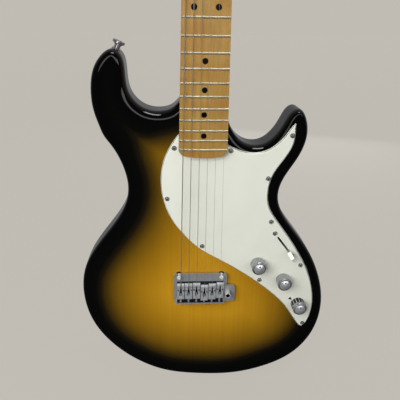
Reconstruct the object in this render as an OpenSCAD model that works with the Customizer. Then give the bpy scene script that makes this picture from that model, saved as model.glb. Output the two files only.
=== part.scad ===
// Solid-body electric guitar with a bolt-on maple neck, a two-post tremolo
// bridge and an offset pickguard that carries the controls.
// The guitar stands upright: +Z runs up the neck, the face looks along -Y and
// +X is to the right as seen from the front. The origin is the place at the
// foot of the headstock where a hanger holds the guitar. Lengths along the
// strings are counted from the saddle line, depths from the body's front face.

/* [Scale and neck] */
// Length of the strings from the nut to the saddle line
scale_len = 648; // [630:1:660]
// Number of frets
fret_count = 22; // [20:1:22]
// Width of the fretboard at the nut
nut_w = 42.8; // [41:0.2:45]
// Width of the fretboard at its body end
neck_end_w = 56.8; // [55:0.2:58]
// Distance from the saddle line to the body end of the neck
neck_end_z = 172; // [170:0.5:175]
// Radius of the rounded corners at the body end of the neck
neck_corner_r = 9; // [5:0.5:14]
// How far the body end of the neck bulges between its corners
neck_end_bulge = 1.5; // [0.5:0.1:3]
// Height of the fretboard's crown over the body's face
neck_rise = 9.5; // [8.5:0.1:11]
// Thickness of the fretboard in the middle
board_t = 6; // [5:0.1:6.5]
// Crown radius of the fretboard
board_radius = 305; // [240:5:400]
// Thickness of the neck with the fretboard behind the nut
neck_t_nut = 20.5; // [19:0.1:23]
// Thickness of the neck with the fretboard where it leaves the body
neck_t_body = 23.5; // [21:0.1:25]
// Thickness of the heel with the fretboard
heel_t = 25.5; // [24.5:0.1:28]
// Length of the square heel block
heel_len = 62; // [58:1:70]
// Width of a fret's crown
fret_w = 2.6; // [2:0.1:3]
// Height of a fret's crown
fret_h = 1.1; // [0.8:0.05:1.4]
// Thickness of a fret's tang
tang_w = 0.6; // [0.5:0.05:0.8]
// Depth of a fret's tang
tang_h = 1.8; // [1.2:0.1:2.2]
// Diameter of the position dots on the fretboard's face
dot_d = 6.5; // [5:0.1:7]
// Distance between the two dots at the octave
dot_pair = 25.4; // [20:0.1:28]
// Depth of the position dots
dot_depth = 1.5; // [1:0.1:2.5]
// Diameter of the dots on the fretboard's edge
side_dot_d = 2.2; // [1.5:0.1:3]
// Thickness of the nut along the strings
nut_t = 4; // [3:0.1:5]
// Height of the nut over the fretboard's crown
nut_rise = 2.2; // [1.8:0.1:3]
// Height of the string centres over the fretboard's crown at the nut
nut_action = 1.5; // [1.3:0.05:1.7]
// Distance between the outer strings at the nut
nut_spread = 34.8; // [33:0.1:36]
// Diameter of the truss rod
truss_d = 5.2; // [4:0.1:6]
// Depth of the truss rod's axis behind the body's face
truss_depth = 3; // [2.5:0.1:4]
// Width across the corners of the truss rod's nut
truss_nut_d = 7.4; // [6.5:0.1:8]
// Length of the truss rod's nut
truss_nut_len = 14; // [10:0.5:18]

/* [Headstock and tuners] */
// Height of the hanger seat over the nut
nut_drop = 16; // [10:1:30]
// Depth of the headstock's face behind the body's face
head_face = 1.5; // [0.5:0.1:3]
// Thickness of the headstock
head_t = 14; // [12.5:0.1:16]
// Height of the first tuner over the nut
tuner_first = 38; // [34:1:42]
// Rise from one tuner to the next along the neck
tuner_step = 25; // [24:0.1:26]
// Side position of the first tuner post
tuner_x0 = -20.9; // [-22:0.1:-20]
// Side step from one tuner post to the next
tuner_dx = 6.76; // [6.5:0.02:7]
// Diameter of a tuner post
post_d = 6; // [5.5:0.1:6.5]
// Height of a tuner post over the headstock's face
post_h = 13; // [11:0.5:16]
// Height of the string windings over the headstock's face
wrap_h = 8; // [7:0.1:9]
// Turns of string on each post
wrap_turns = 1.5; // [1:0.25:2]
// Diameter of the bore for a tuner bushing
bushing_d = 9; // [8.5:0.1:10]
// Diameter of a bushing's flange
bushing_flange_d = 11; // [10.5:0.1:13]
// Thickness of a bushing's flange
bushing_flange_t = 1.2; // [0.8:0.1:2]
// Length of a bushing's sleeve
bushing_len = 9; // [6:0.5:12]
// Diameter of the gear on a tuner post
gear_d = 10.5; // [9.5:0.1:11]
// Thickness of the gear
gear_t = 3; // [2.5:0.1:3.4]
// Diameter of a tuner's worm
worm_d = 4.6; // [4.2:0.1:5]
// Diameter of the shaft that carries a tuner's button
worm_shaft_d = 3.6; // [3:0.1:4]
// Depth of a tuner housing behind the headstock
housing_t = 8; // [7.5:0.1:10]
// Thickness of a housing's walls
housing_wall = 2; // [1.6:0.1:2.2]
// Gap from the post's axis to the root of a tuner's button
button_root = 19; // [18:0.5:22]
// Length of a tuner's button
button_len = 15; // [12:0.5:18]
// Largest diameter of a tuner's button
button_d = 17; // [14:0.5:18]
// Thickness of a tuner's button across its flats
button_t = 8; // [6:0.5:10]
// Height of the string tree over the nut
tree_z = 75; // [70:1:80]
// Height of the strings over the headstock's face under the tree
tree_h = 6.5; // [5.5:0.1:7]

/* [Body] */
// Thickness of the body
body_t = 44; // [43:0.5:48]
// Radius of the rounded edges
edge_r = 10; // [6:0.5:12]
// Depth of the control cavity behind the face
control_depth = 37; // [35:0.5:38]
// Half width of the slot for the tremolo block
block_slot_x = 33.5; // [32.5:0.1:34]
// Front end of the tremolo block's slot, from the saddle line
block_slot_front = -1.5; // [-2:0.1:-1]
// Rear end of the tremolo block's slot, from the saddle line
block_slot_rear = -33; // [-35:0.5:-32]
// Depth of the spring cavity, from the back
spring_cavity_depth = 22; // [20:0.5:23]
// Half width of the spring cavity
spring_cavity_x = 36; // [35:0.5:38]
// Neck end of the spring cavity, from the saddle line
spring_cavity_end = 96; // [92:1:100]
// Diameter of the wire channels
channel_d = 6; // [5:0.1:7]
// Diameter of the wire looms
wire_d = 5; // [4:0.1:5]
// Place of the upper strap button along the outline
strap_u = 44.66; // [44.5:0.01:44.7]
// Place of the lower strap button along the outline
strap_low_u = 15.35; // [14.5:0.05:15.8]
// Place of the output jack along the outline
jack_u = 17.75; // [17.5:0.05:18]

/* [Pickguard] */
// Thickness of the pickguard
guard_t = 2.3; // [2:0.1:2.6]
// Diameter of the holes for the control bushings
guard_hole_d = 8; // [7.8:0.1:8.6]

/* [Bridge] */
// Distance between the outer strings at the saddles
saddle_spread = 52.3; // [51.5:0.1:52.8]
// Height of the string centres over the body at the saddles
saddle_rise = 14; // [13.5:0.1:15]
// Width of the bridge plate
plate_w = 71; // [70:0.5:74]
// Thickness of the bridge plate
plate_t = 2.5; // [2.2:0.1:2.8]
// Gap between the body and the bridge plate
plate_gap = 3.2; // [3:0.1:3.6]
// Front edge of the bridge plate, from the saddle line
plate_front = 11; // [10.6:0.1:11.6]
// Rear edge of the bridge plate, from the saddle line
plate_rear = -33; // [-35:0.5:-32.5]
// Thickness of the plate's rear wall
rear_wall_t = 2.2; // [2:0.1:3]
// Height of the plate's rear wall over the plate
rear_wall_h = 5.5; // [5.2:0.1:7]
// Outer edge of the lobe that carries the arm socket
lobe_x = 47; // [46.5:0.5:50]
// Front edge of the lobe, from the saddle line
lobe_front = -7.5; // [-9:0.5:-6.5]
// Rear edge of the lobe, from the saddle line
lobe_rear = -33; // [-34:0.5:-31]
// Side position of the arm socket
socket_x = 36.6; // [36.4:0.1:37.4]
// Position of the arm socket along the strings
socket_z = -17.5; // [-19:0.5:-16.5]
// Outer diameter of the arm socket
socket_d = 7.6; // [7:0.1:8]
// Diameter of the arm socket's bore
socket_bore_d = 5.2; // [4.6:0.1:5.4]
// Height of the arm socket over the bridge plate
socket_h = 10; // [8:0.5:12]
// Distance between the two bridge posts
bridge_post_span = 56.4; // [55.5:0.1:57]
// Position of the bridge posts along the strings
bridge_post_z = 6.6; // [6.5:0.1:7]
// Diameter of the groove in which the bridge plate pivots
groove_d = 4.4; // [4.2:0.1:4.8]
// Diameter of a bridge post's head
bridge_post_head_d = 6.2; // [5.8:0.1:6.4]
// Diameter of a bridge post's thread
bridge_thread_d = 4.6; // [4:0.1:5]
// Diameter of the threaded anchors for the posts
anchor_d = 7; // [6.4:0.1:8]
// Length of the anchors
anchor_len = 22; // [18:0.5:24]
// Diameter of the rim that an anchor has on the body's face
anchor_rim_d = 9.6; // [8.6:0.1:10]
// Width of the tremolo block
block_w = 62; // [60:0.5:63]
// Thickness of the tremolo block along the strings
block_t = 14; // [12:0.5:14.5]
// Distance from the saddle line to the front of the tremolo block
block_front = -6; // [-6.5:0.1:-5.5]
// Depth of the tremolo block under the bridge plate
block_h = 36; // [32:0.5:36.5]
// Diameter of the string bores through the block
string_bore_d = 3; // [2.6:0.1:3.4]
// Diameter of the ball end recesses in the block
ball_recess_d = 7; // [6:0.1:8]
// Diameter of the ball ends
ball_d = 3.8; // [3.5:0.1:4.2]
// Length of a saddle
saddle_len = 24.5; // [23:0.5:25.5]
// Gap between neighbouring saddles
saddle_gap = 0.3; // [0.2:0.05:0.5]
// How far a saddle reaches in front of its string contact
saddle_nose = 2; // [1.8:0.1:2.4]
// Height of a saddle's underside over the bridge plate
saddle_lift = 1.5; // [1:0.1:2]
// Radius of the crest that carries the string
crest_r = 2.2; // [2:0.1:2.4]
// Width of the string slot in a saddle
saddle_slot_w = 3.2; // [2.8:0.1:3.6]
// Front of the string slot, behind the string contact
saddle_slot_front = 5; // [4.5:0.1:6]
// Rear of the string slot, behind the string contact
saddle_slot_rear = 19; // [18:0.5:20]
// Diameter of the saddle height screws
height_screw_d = 2.4; // [2:0.1:2.6]
// Diameter of the intonation screws
inton_screw_d = 2.5; // [2:0.1:3]
// Diameter of the tremolo springs
spring_d = 8.6; // [7.5:0.1:9]
// Side distance between the tremolo springs
spring_step = 18; // [16:0.5:19]
// Distance from the saddle line to the spring claw
claw_z = 74; // [70:0.5:78]
// Thickness of the spring claw
claw_t = 3; // [2:0.1:4]

/* [Controls] */
// Diameter of the knobs
knob_d = 19; // [18:0.1:20]
// Height of the knobs over the pickguard
knob_h = 18; // [16:0.1:20]
// Gap between the knobs and the pickguard
knob_gap = 0.7; // [0.5:0.1:1]
// Height of the crown on top of a knob
knob_dome = 2; // [1:0.1:3]
// Depth of the recess in a knob's underside
knob_recess = 3.4; // [3:0.1:4]
// Height of the printed ring on the selector knob
dial_h = 9; // [7:0.1:10]
// Thickness of the printed ring on the selector knob
dial_t = 0.8; // [0.6:0.1:1]
// Diameter of the control shafts
shaft_d = 6; // [5.6:0.1:6.2]
// Diameter of the control bushings
pot_bushing_d = 7.6; // [7.2:0.1:7.7]
// Height of the control bushings over the pickguard
pot_bushing_h = 2.6; // [2:0.1:2.8]
// Diameter of the control housings
pot_d = 17; // [16:0.1:18]
// Depth of the control housings behind the pickguard
pot_t = 10; // [8:0.5:12]
// Diameter of the rotary selector's housing
selector_d = 20; // [18:0.1:21]
// Depth of the rotary selector's housing
selector_t = 14; // [12:0.5:16]
// Length of the blade switch's slot in the pickguard
switch_slot_len = 27.6; // [27:0.1:29]
// Width of the blade switch's slot in the pickguard
switch_slot_w = 2.6; // [2.4:0.1:3]
// Distance between the blade switch's screws
switch_screw_span = 41.3; // [40:0.1:43]
// Width of the blade switch's frame
switch_frame_w = 8; // [7:0.5:9]
// Depth of the lever's pivot behind the body's face
switch_pivot = 20; // [19:0.5:21]
// Swing of the lever to each side
switch_swing = 26; // [22:0.5:27]
// Thickness of the lever
lever_t = 1.6; // [1.2:0.1:1.8]
// Width of the lever
lever_w = 4; // [3.5:0.1:4.5]
// Distance from the lever's pivot to the foot of its tip
tip_root = 30.5; // [28:0.1:31]
// Length of the lever's tip
tip_len = 12; // [10:0.5:13]
// Width of the lever's tip along its slot
tip_w = 7.4; // [6:0.1:8]
// Thickness of the lever's tip
tip_t = 5; // [4:0.1:5.5]
// Diameter of the lever's pivot pin
switch_pin_d = 3; // [2.5:0.1:3.5]

/* [Plates and battery] */
// Thickness of the plates on the back
cover_t = 1.6; // [1.2:0.1:2]
// Margin of a back plate around its cavity
cover_margin = 6; // [5.5:0.5:7]
// Length of a battery cell
cell_len = 50; // [48:0.5:50.5]
// Diameter of a battery cell
cell_d = 14.2; // [13.5:0.1:14.5]
// Side distance between the cells
cell_step = 15; // [14.8:0.1:15.2]
// Middle of the battery compartment, across
battery_x = -90; // [-92:0.5:-88]
// Middle of the battery compartment, along the strings
battery_z = -40; // [-42:0.5:-38]
// Width of the neck plate
neck_plate_w = 42; // [40:0.5:44]
// Length of the neck plate
neck_plate_len = 46; // [44:0.5:48]
// Thickness of the neck plate
neck_plate_t = 2; // [1.5:0.1:3]
// Length of the jack plate along the rim
jack_plate_len = 44; // [40:0.5:46]
// Width of the jack plate across the rim
jack_plate_w = 22; // [20:0.5:23]
// Depth of the flat that seats the jack plate
jack_flat = 3.2; // [3:0.1:3.6]
// Radius of the jack's plug bore
jack_bore_r = 3.2; // [3.1:0.05:3.3]
// Length of the jack's plug bore
jack_bore_len = 28; // [24:0.5:30]
// Diameter of the jack's thread
jack_thread_d = 9.4; // [9:0.1:10]
// Diameter of the hole for the jack in the rim
jack_hole_d = 20; // [18:0.5:21]

/* [Fasteners and clearances] */
// Shank diameter of the plate screws
screw_d = 2.4; // [2:0.1:2.8]
// Head diameter of the plate screws
screw_head_d = 5.8; // [5:0.1:6.2]
// Head height of the plate screws
screw_head_h = 1.6; // [1.2:0.1:2]
// Length of the plate screws
screw_len = 12; // [8:0.5:14]
// Shank diameter of the neck and claw screws
long_screw_d = 4.2; // [3.8:0.1:4.6]
// Shank length of the neck and claw screws
long_screw_len = 42; // [40:0.5:43]
// Head diameter of the neck and claw screws
long_head_d = 8; // [7:0.1:9]
// Head diameter of a strap button
strap_head_d = 14; // [13:0.1:16]
// Waist diameter of a strap button
strap_waist_d = 7; // [6.5:0.1:8]
// Height of a strap button
strap_h = 10; // [9.5:0.5:15]
// Thickness of a strap button's head at its rim
strap_rim = 2.5; // [2:0.1:3]
// Radial clearance of shafts that turn
run_fit = 0.05; // [0.02:0.01:0.1]
// Clearance of pieces that are set in pockets and holes
set_fit = 0.05; // [0.02:0.01:0.1]
// Gap between the neck and the edges around it
neck_fit = 0.3; // [0.2:0.05:0.6]
// Gap between soft or moving pieces and their seats
rest_gap = 0.3; // [0.25:0.05:0.4]
// Gap between the strings and what carries them
string_gap = 0.12; // [0.1:0.01:0.2]

/* [Hidden] */
$fn = 48;
cut = 1;
string_d = [1.17, 0.91, 0.66, 0.43, 0.33, 0.25];
saddle_comp = [-2.8, -2.1, -1.3, -4.3, -2.8, -1.3];
dot_frets = [3, 5, 7, 9, 15, 17, 19, 21];
octave = 12;

// Guide points of the body's outline in plan, anticlockwise from the upper horn
body_guide = [[-102, 294], [-116, 283], [-127, 265], [-129, 229], [-121, 206], [-117, 192],
    [-103, 177], [-87, 133], [-97, 96], [-130, 56], [-158, 14], [-160, -41], [-145, -88],
    [-108, -133], [-56, -166], [-2, -173], [52, -175], [100, -162], [142, -140], [170, -99],
    [177, -50], [167, -4], [146, 40], [116, 76], [95, 107], [98, 138], [119, 167], [128, 196],
    [122, 220], [113, 230], [101, 223], [94, 203], [76, 182], [52, 183], [37, 196], [29, 213],
    [23, 233], [0, 238], [-22, 243], [-31, 231], [-41, 223], [-68, 223], [-87, 242], [-88, 265],
    [-89, 285]];
// Guide points of the pickguard's outline, which runs on under the neck
guard_guide = [[-18, 211], [-33, 194], [-50, 166], [-52, 123], [-38, 86], [-23, 68], [-4, 45],
    [36, 24], [77, -5], [112, -35], [128, -58], [140, -78], [147, -84], [156, -70], [160, -36],
    [147, 10], [129, 41], [106, 75], [84, 102], [81, 124], [84, 148], [101, 171], [110, 189],
    [108, 209], [109, 214], [102, 205], [95, 193], [78, 178], [57, 175], [35, 182], [12, 196],
    [-5, 210]];
// Guide points of the headstock's outline, with heights counted from the nut
head_guide = [[20, -8], [21, 14], [27, 42], [30, 80], [33, 120], [37, 160], [35, 186], [20, 197],
    [7, 190], [0, 167], [-17, 104], [-33, 45], [-38, 27], [-30, 13], [-21, 4], [-20, -8]];
// Corners of the control cavity
control_plan = [[56, 40], [60, 58], [78, 70], [90, 79], [97, 80], [110, 63.5], [123, 43], [128, 35],
    [129, 22], [134, 13], [141, 0], [147, -18], [150, -36], [149, -54], [143, -63], [136, -62],
    [120, -40], [104, -20], [88, -1], [76, 9], [60, 20]];
// Places of the pickguard's screws and of the controls
guard_screws = [[-34, 182], [-43, 117.5], [1.5, 51], [33, 179], [105, 197.5], [80.5, 144],
    [89, 85.3], [134, 20.5], [80, -1.8], [147, -75]];
volume_at = [75.8, 24.2];
tone_at = [111.8, -1];
selector_at = [136.3, -40.8];
switch_at = [108, 52.2];
switch_turn = -37.7;
guide_steps = 3;
channel_run = 3;
switch_room = 14.6;
round_steps = 5;

saddle_z = -(nut_drop + scale_len);
board_top = -neck_rise;
board_bottom = board_top + board_t;
board_axis = board_top + board_radius;
pocket_floor = board_top + heel_t;
heel_end = neck_end_z + heel_len;
head_back = head_face + head_t;
plate_top = -(plate_gap + plate_t);
plate_under = -plate_gap;
pivot_z = bridge_post_z - groove_d / 2;
pivot_y = -(plate_gap + plate_t / 2);
block_mid = block_front - block_t / 2;
block_end = plate_under + block_h;
ball_seat = block_end - block_t;
guard_top = -guard_t;
string_count = len(string_d);
strings_all = [0:string_count - 1];
tuner_turn = atan2(tuner_dx, tuner_step);
worm_off = gear_d / 2 + worm_d / 2 + rest_gap;
worm_y = head_back + 2.8;
spring_y = body_t - 14;
spring_front = block_front + rest_gap;
claw_screw_x = spring_step / 2;
battery_w = 2 * cell_step + cell_d + 1;
battery_len = 2 * cell_len + 4;
battery_floor = body_t - cell_d - 3;
neck_plate_z = neck_end_z + neck_plate_len / 2;
neck_screw_x = neck_plate_w / 2 - 7;
neck_screw_dz = neck_plate_len / 2 - 9.5;

// Cubic B-spline through the pull of guide points: place and direction
function guide(c, i) = c[(i + len(c)) % len(c)];
function bend(c, i, t) = ((1 - t) ^ 3 * guide(c, i - 1) + (3 * t ^ 3 - 6 * t ^ 2 + 4) * guide(c, i)
    + (1 + 3 * t + 3 * t ^ 2 - 3 * t ^ 3) * guide(c, i + 1) + t ^ 3 * guide(c, i + 2)) / 6;
function bend_dir(c, i, t) = (-(1 - t) ^ 2 * guide(c, i - 1) + (3 * t ^ 2 - 4 * t) * guide(c, i)
    + (1 + 2 * t - 3 * t ^ 2) * guide(c, i + 1) + t ^ 2 * guide(c, i + 2)) / 2;
function bend_turn(c, i, t) = (1 - t) * guide(c, i - 1) + (3 * t - 2) * guide(c, i)
    + (1 - 3 * t) * guide(c, i + 1) + t * guide(c, i + 2);
function unit(v) = v / norm(v);
function outward(d) = unit([d.y, -d.x]);
function curve(c, n) = [for (i = [0:len(c) - 1], k = [0:n - 1]) bend(c, i, k / n)];
function curve_out(c, n) = [for (i = [0:len(c) - 1], k = [0:n - 1]) outward(bend_dir(c, i, k / n))];
// Curvature, positive where the outline is convex
function curvature(d, a) = (d.x * a.y - d.y * a.x) / norm(d) ^ 3;
function curve_turn(c, n) = [for (i = [0:len(c) - 1], k = [0:n - 1])
    curvature(bend_dir(c, i, k / n), bend_turn(c, i, k / n))];
function rim_at(u) = bend(body_guide, floor(u), u - floor(u));
function rim_out(u) = outward(bend_dir(body_guide, floor(u), u - floor(u)));
// Smallest value, and mean value, of the neighbours of point i in a closed list
function near_min(v, i, w) = min([for (k = [-w:w]) v[(i + k + len(v)) % len(v)]]);
function near_mean(v, i, w) = let (s = [for (k = [-w:w]) v[(i + k + len(v)) % len(v)]])
    s * [for (k = s) 1] / len(s);

// Positions of frets and strings
function fret_z(n) = scale_len * 2 ^ (-n / 12);
function neck_w(z) = nut_w + (neck_end_w - nut_w) * (scale_len - z) / (scale_len - neck_end_z);
function string_share(i) = i / (string_count - 1) - 0.5;
function nut_x(i) = nut_spread * string_share(i);
function saddle_x(i) = saddle_spread * string_share(i);
function crown_drop(x) = board_radius - sqrt(board_radius ^ 2 - x ^ 2);
function nut_y(i) = board_top - nut_action + crown_drop(nut_x(i));
function saddle_y(i) = -saddle_rise + crown_drop(saddle_x(i));
function tuner_at(i) = [tuner_x0 + tuner_dx * i, scale_len + tuner_first + tuner_step * i];
function smooth(a, b, z) = let (t = max(0, min(1, (z - a) / (b - a)))) t * t * (3 - 2 * t);
function mix(a, b, t) = a + (b - a) * t;

// Plan of the neck's body end, with its sides up to a height and a margin all round
function neck_side(z, grow) = neck_w(z) / 2 + grow;
function neck_plan(top, grow) = let (r = neck_corner_r + grow, z0 = neck_end_z - grow,
    x0 = neck_side(neck_end_z + neck_corner_r, grow) - r, z1 = z0 + neck_end_bulge + r)
    concat([for (a = [0:15:90]) [-x0 - r * cos(a), z1 - r * sin(a)]],
        [for (x = [-0.75:0.25:0.75]) [x * x0, z0 + neck_end_bulge * x ^ 2]],
        [for (a = [90:-15:0]) [x0 + r * cos(a), z1 - r * sin(a)]],
        [[neck_side(top, grow), top], [-neck_side(top, grow), top]]);

// Everything that is measured from the saddle line
module from_saddle() {
    translate([0, 0, saddle_z]) children();
}

// A flat outline in plan, as thick as from one depth to another
module slab(front, back) {
    translate([0, back, 0]) rotate([90, 0, 0]) linear_extrude(back - front) children();
}

// A round bar along the depth of the guitar
module bar_y(at, front, back, d) {
    translate([at.x, front, at.y]) rotate([-90, 0, 0]) cylinder(d = d, h = back - front);
}

// A round bar along X
module bar_x(x0, x1, y, z, d) {
    translate([x0, y, z]) rotate([0, 90, 0]) cylinder(d = d, h = x1 - x0);
}

// A box between two corners
module box(a, b) {
    translate(a) cube(b - a);
}

// A flat rectangle with round corners
module round_rect(w, h, r) {
    for (x = [-1, 1], y = [-1, 1]) translate([x * (w / 2 - r), y * (h / 2 - r)]) circle(r);
    square([w, h - 2 * r], center = true);
    square([w - 2 * r, h], center = true);
}

// The frame of a place on the rim: +X points out of the body
module on_rim(u) {
    p = rim_at(u);
    n = rim_out(u);
    translate([p.x, body_t / 2, p.y]) rotate([0, -atan2(n.y, n.x), 0]) children();
}

// The frame of the blade switch: +Z runs up its slot
module at_switch() {
    translate([switch_at.x, 0, switch_at.y]) rotate([0, switch_turn, 0]) children();
}

// The frame of one tuner: the post's axis is Y, the button lies along -X
module at_tuner(i) {
    p = tuner_at(i);
    translate([p.x, 0, p.y]) rotate([0, tuner_turn, 0]) children();
}

// Triangles of a flat outline, cut off it one corner at a time; a convex one is a simple fan
function turn_of(a, b, c) = (b.x - a.x) * (c.y - a.y) - (b.y - a.y) * (c.x - a.x);
function covers(a, b, c, q) = turn_of(a, b, q) > 0 && turn_of(b, c, q) > 0 && turn_of(c, a, q) > 0;
function is_ear(p, v, i) = let (n = len(v), a = p[v[(i + n - 1) % n]], b = p[v[i]], c = p[v[(i + 1) % n]])
    turn_of(a, b, c) > 0 && len([for (q = v) if (covers(a, b, c, p[q])) q]) == 0;
function first_ear(p, v, i) = is_ear(p, v, i) ? i : first_ear(p, v, i + 1);
function ears(p, v) = let (n = len(v), k = n > 3 ? first_ear(p, v, 0) : 1)
    concat([[v[(k + n - 1) % n], v[k], v[(k + 1) % n]]],
        n > 3 ? ears(p, [for (i = [0:n - 1]) if (i != k) v[i]]) : []);
function fan(n) = [for (i = [1:n - 2]) [0, i, i + 1]];

// A closed skin over rings with equal numbers of points, with the triangles of its two ends
module skin(rings, cap) {
    n = len(rings[0]);
    m = len(rings);
    last = (m - 1) * n;
    polyhedron(points = [for (r = rings, p = r) p], faces = concat(
        [for (t = cap) [t[2], t[1], t[0]]],
        [for (t = cap) [last + t[0], last + t[1], last + t[2]]],
        [for (k = [0:m - 2], i = [0:n - 1]) [k * n + i, k * n + (i + 1) % n, (k + 1) * n + i]],
        [for (k = [0:m - 2], i = [0:n - 1])
            [k * n + (i + 1) % n, (k + 1) * n + (i + 1) % n, (k + 1) * n + i]]));
}

// Directions along a path, and side directions carried along it without twist
function along(p) = [for (i = [0:len(p) - 1]) unit(
    (i < len(p) - 1 ? unit(p[i + 1] - p[i]) : [0, 0, 0]) + (i > 0 ? unit(p[i] - p[i - 1]) : [0, 0, 0]))];
function level(u, t) = unit(u - (u * t) * t);
function sides(t, i, u) = i == len(t) ? [] : let (v = level(u, t[i])) concat([v], sides(t, i + 1, v));

// A round tube along a path, with a radius at each point
module tube(path, radii, n) {
    t = along(path);
    u = sides(t, 0, [1, 0, 0.01]);
    skin([for (i = [len(path) - 1:-1:0]) [for (k = [0:n - 1])
        path[i] + radii[i] * (cos(360 * k / n) * u[i] + sin(360 * k / n) * cross(t[i], u[i]))]], fan(n));
}

// A plate screw: the head stands on depth 0 towards -Y, the shank runs to +Y
module plate_screw() {
    difference() {
        union() {
            rotate([90, 0, 0]) rotate_extrude() polygon([[0, 0], [screw_head_d / 2, 0],
                [screw_head_d / 2, screw_head_h * 0.35], [screw_head_d * 0.36, screw_head_h * 0.85],
                [0, screw_head_h]]);
            bar_y([0, 0], -screw_head_h / 2, screw_len, screw_d);
        }
        for (a = [0, 90]) rotate([0, a, 0])
            box([-screw_head_d * 0.3, -screw_head_h - cut, -screw_head_d * 0.06],
                [screw_head_d * 0.3, -screw_head_h * 0.4, screw_head_d * 0.06]);
    }
}

// The cross in a screw head of diameter d and height h
module cross_slot(d, h) {
    for (a = [0, 90]) rotate([0, a, 0])
        box([-0.28 * d, -h - cut, -0.056 * d], [0.28 * d, -0.44 * h, 0.056 * d]);
}

long_head_h = 0.31 * long_head_d;

// A long wood screw, laid out like the plate screw
module long_screw() {
    difference() {
        union() {
            rotate([90, 0, 0]) rotate_extrude() polygon([[0, 0], [long_head_d / 2, 0],
                [long_head_d / 2, long_head_h / 2], [long_head_d * 0.3, long_head_h], [0, long_head_h]]);
            bar_y([0, 0], -cut, long_screw_len, long_screw_d);
        }
        cross_slot(long_head_d, long_head_h);
    }
}

// Places of the screws of the back plates, as [x, z]
function plate_corners(w, h, mids) = [for (x = [-1, 1], z = mids ? [-1, 0, 1] : [-1, 1])
    [x * (w / 2 - plate_screw_in), z * (h / 2 - plate_screw_in)]];
plate_screw_in = 0.6 * cover_margin;
spring_plate_w = 2 * (spring_cavity_x + cover_margin);
spring_plate_len = spring_cavity_end - block_slot_rear + 2 * cover_margin;
spring_plate_z = (spring_cavity_end + block_slot_rear) / 2;
battery_plate_w = battery_w + 2 * cover_margin;
battery_plate_len = battery_len + 2 * cover_margin;
spring_plate_screws = [for (p = plate_corners(spring_plate_w, spring_plate_len, true))
    p + [0, spring_plate_z]];
battery_plate_screws = [for (p = plate_corners(battery_plate_w, battery_plate_len, false))
    p + [battery_x, battery_z]];
jack_screw_z = jack_plate_len / 2 - 5;

// The bare body: the outline with rounded edges
module body_blank() {
    p = curve(body_guide, guide_steps);
    n = curve_out(body_guide, guide_steps);
    k = curve_turn(body_guide, guide_steps);
    free = [for (c = k) min(edge_r, 0.75 / max(c, 0.001))];
    tight = [for (i = [0:len(free) - 1]) near_min(free, i, 4)];
    w = [for (i = [0:len(free) - 1]) near_mean(tight, i, 4)];
    turns = [for (s = [0:round_steps]) 90 * s / round_steps];
    flat = [for (i = [0:len(p) - 1]) p[i] - n[i] * w[i]];
    skin(concat(
        [for (a = turns) [for (i = [0:len(p) - 1]) let (q = p[i] - n[i] * w[i] * (1 - sin(a)))
            [q.x, edge_r * (1 - cos(a)), q.y]]],
        [for (a = turns) [for (i = [0:len(p) - 1]) let (q = p[i] - n[i] * w[i] * (1 - cos(a)))
            [q.x, body_t - edge_r * (1 - sin(a)), q.y]]]), ears(flat, [for (i = [0:len(p) - 1]) i]));
}

module body() {
    color("#a06c14") from_saddle() difference() {
        body_blank();
        slab(-cut, pocket_floor) polygon(neck_plan(heel_end + 20, set_fit));
        slab(-cut, control_depth) polygon(control_plan);
        box([-block_slot_x, -cut, block_slot_rear], [block_slot_x, body_t - cut, block_slot_front]);
        box([-spring_cavity_x, body_t - spring_cavity_depth, block_slot_rear],
            [spring_cavity_x, body_t + cut, spring_cavity_end]);
        box([battery_x - battery_w / 2, battery_floor, battery_z - battery_len / 2],
            [battery_x + battery_w / 2, body_t + cut, battery_z + battery_len / 2]);
        for (x = [-1, 1]) bar_y([x * bridge_post_span / 2, bridge_post_z], -cut,
            anchor_len + set_fit, anchor_d + 2 * set_fit);
        for (p = guard_screws) bar_y(p, -cut, screw_len + cut - guard_t, screw_d + 2 * set_fit);
        for (p = concat(spring_plate_screws, battery_plate_screws))
            bar_y(p, body_t + cover_t - screw_len - cut, body_t + cut, screw_d + 2 * set_fit);
        for (p = neck_screw_places()) bar_y(p, pocket_floor - cut, body_t + cut,
            long_screw_d + 2 * set_fit);
        for (x = [-1, 1]) translate([x * claw_screw_x, spring_y, spring_cavity_end - cut])
            cylinder(d = long_screw_d + 2 * set_fit, h = long_screw_len);
        for (u = [strap_u, strap_low_u]) on_rim(u)
            bar_x(-strap_screw_len - cut, cut, 0, 0, strap_screw_d + 2 * set_fit);
        for (u = [strap_u, strap_low_u]) on_rim(u)
            bar_x(-strap_seat, 20, 0, 0, strap_waist_d + 2 * strap_flare + 2 * set_fit);
        on_rim(jack_u) jack_cut();
        wire_runs(channel_d, 0);
    }
}

function neck_screw_places() = [for (x = [-1, 1], z = [-1, 1])
    [x * neck_screw_x, neck_plate_z + z * neck_screw_dz]];

strap_screw_d = 4;
strap_screw_len = 26;
strap_seat = 1.2;
strap_flare = 1.8;

// The seat of the jack plate, its screws and the hole for the jack
module jack_cut() {
    box([-jack_flat, -jack_plate_w / 2 - set_fit, -jack_plate_len / 2 - set_fit],
        [20, jack_plate_w / 2 + set_fit, jack_plate_len / 2 + set_fit]);
    bar_x(-jack_bore_len - 12, 0, 0, 0, jack_hole_d);
    for (z = [-1, 1]) bar_x(-jack_flat - screw_len, 0, 0, z * jack_screw_z, screw_d + 2 * set_fit);
}

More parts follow.
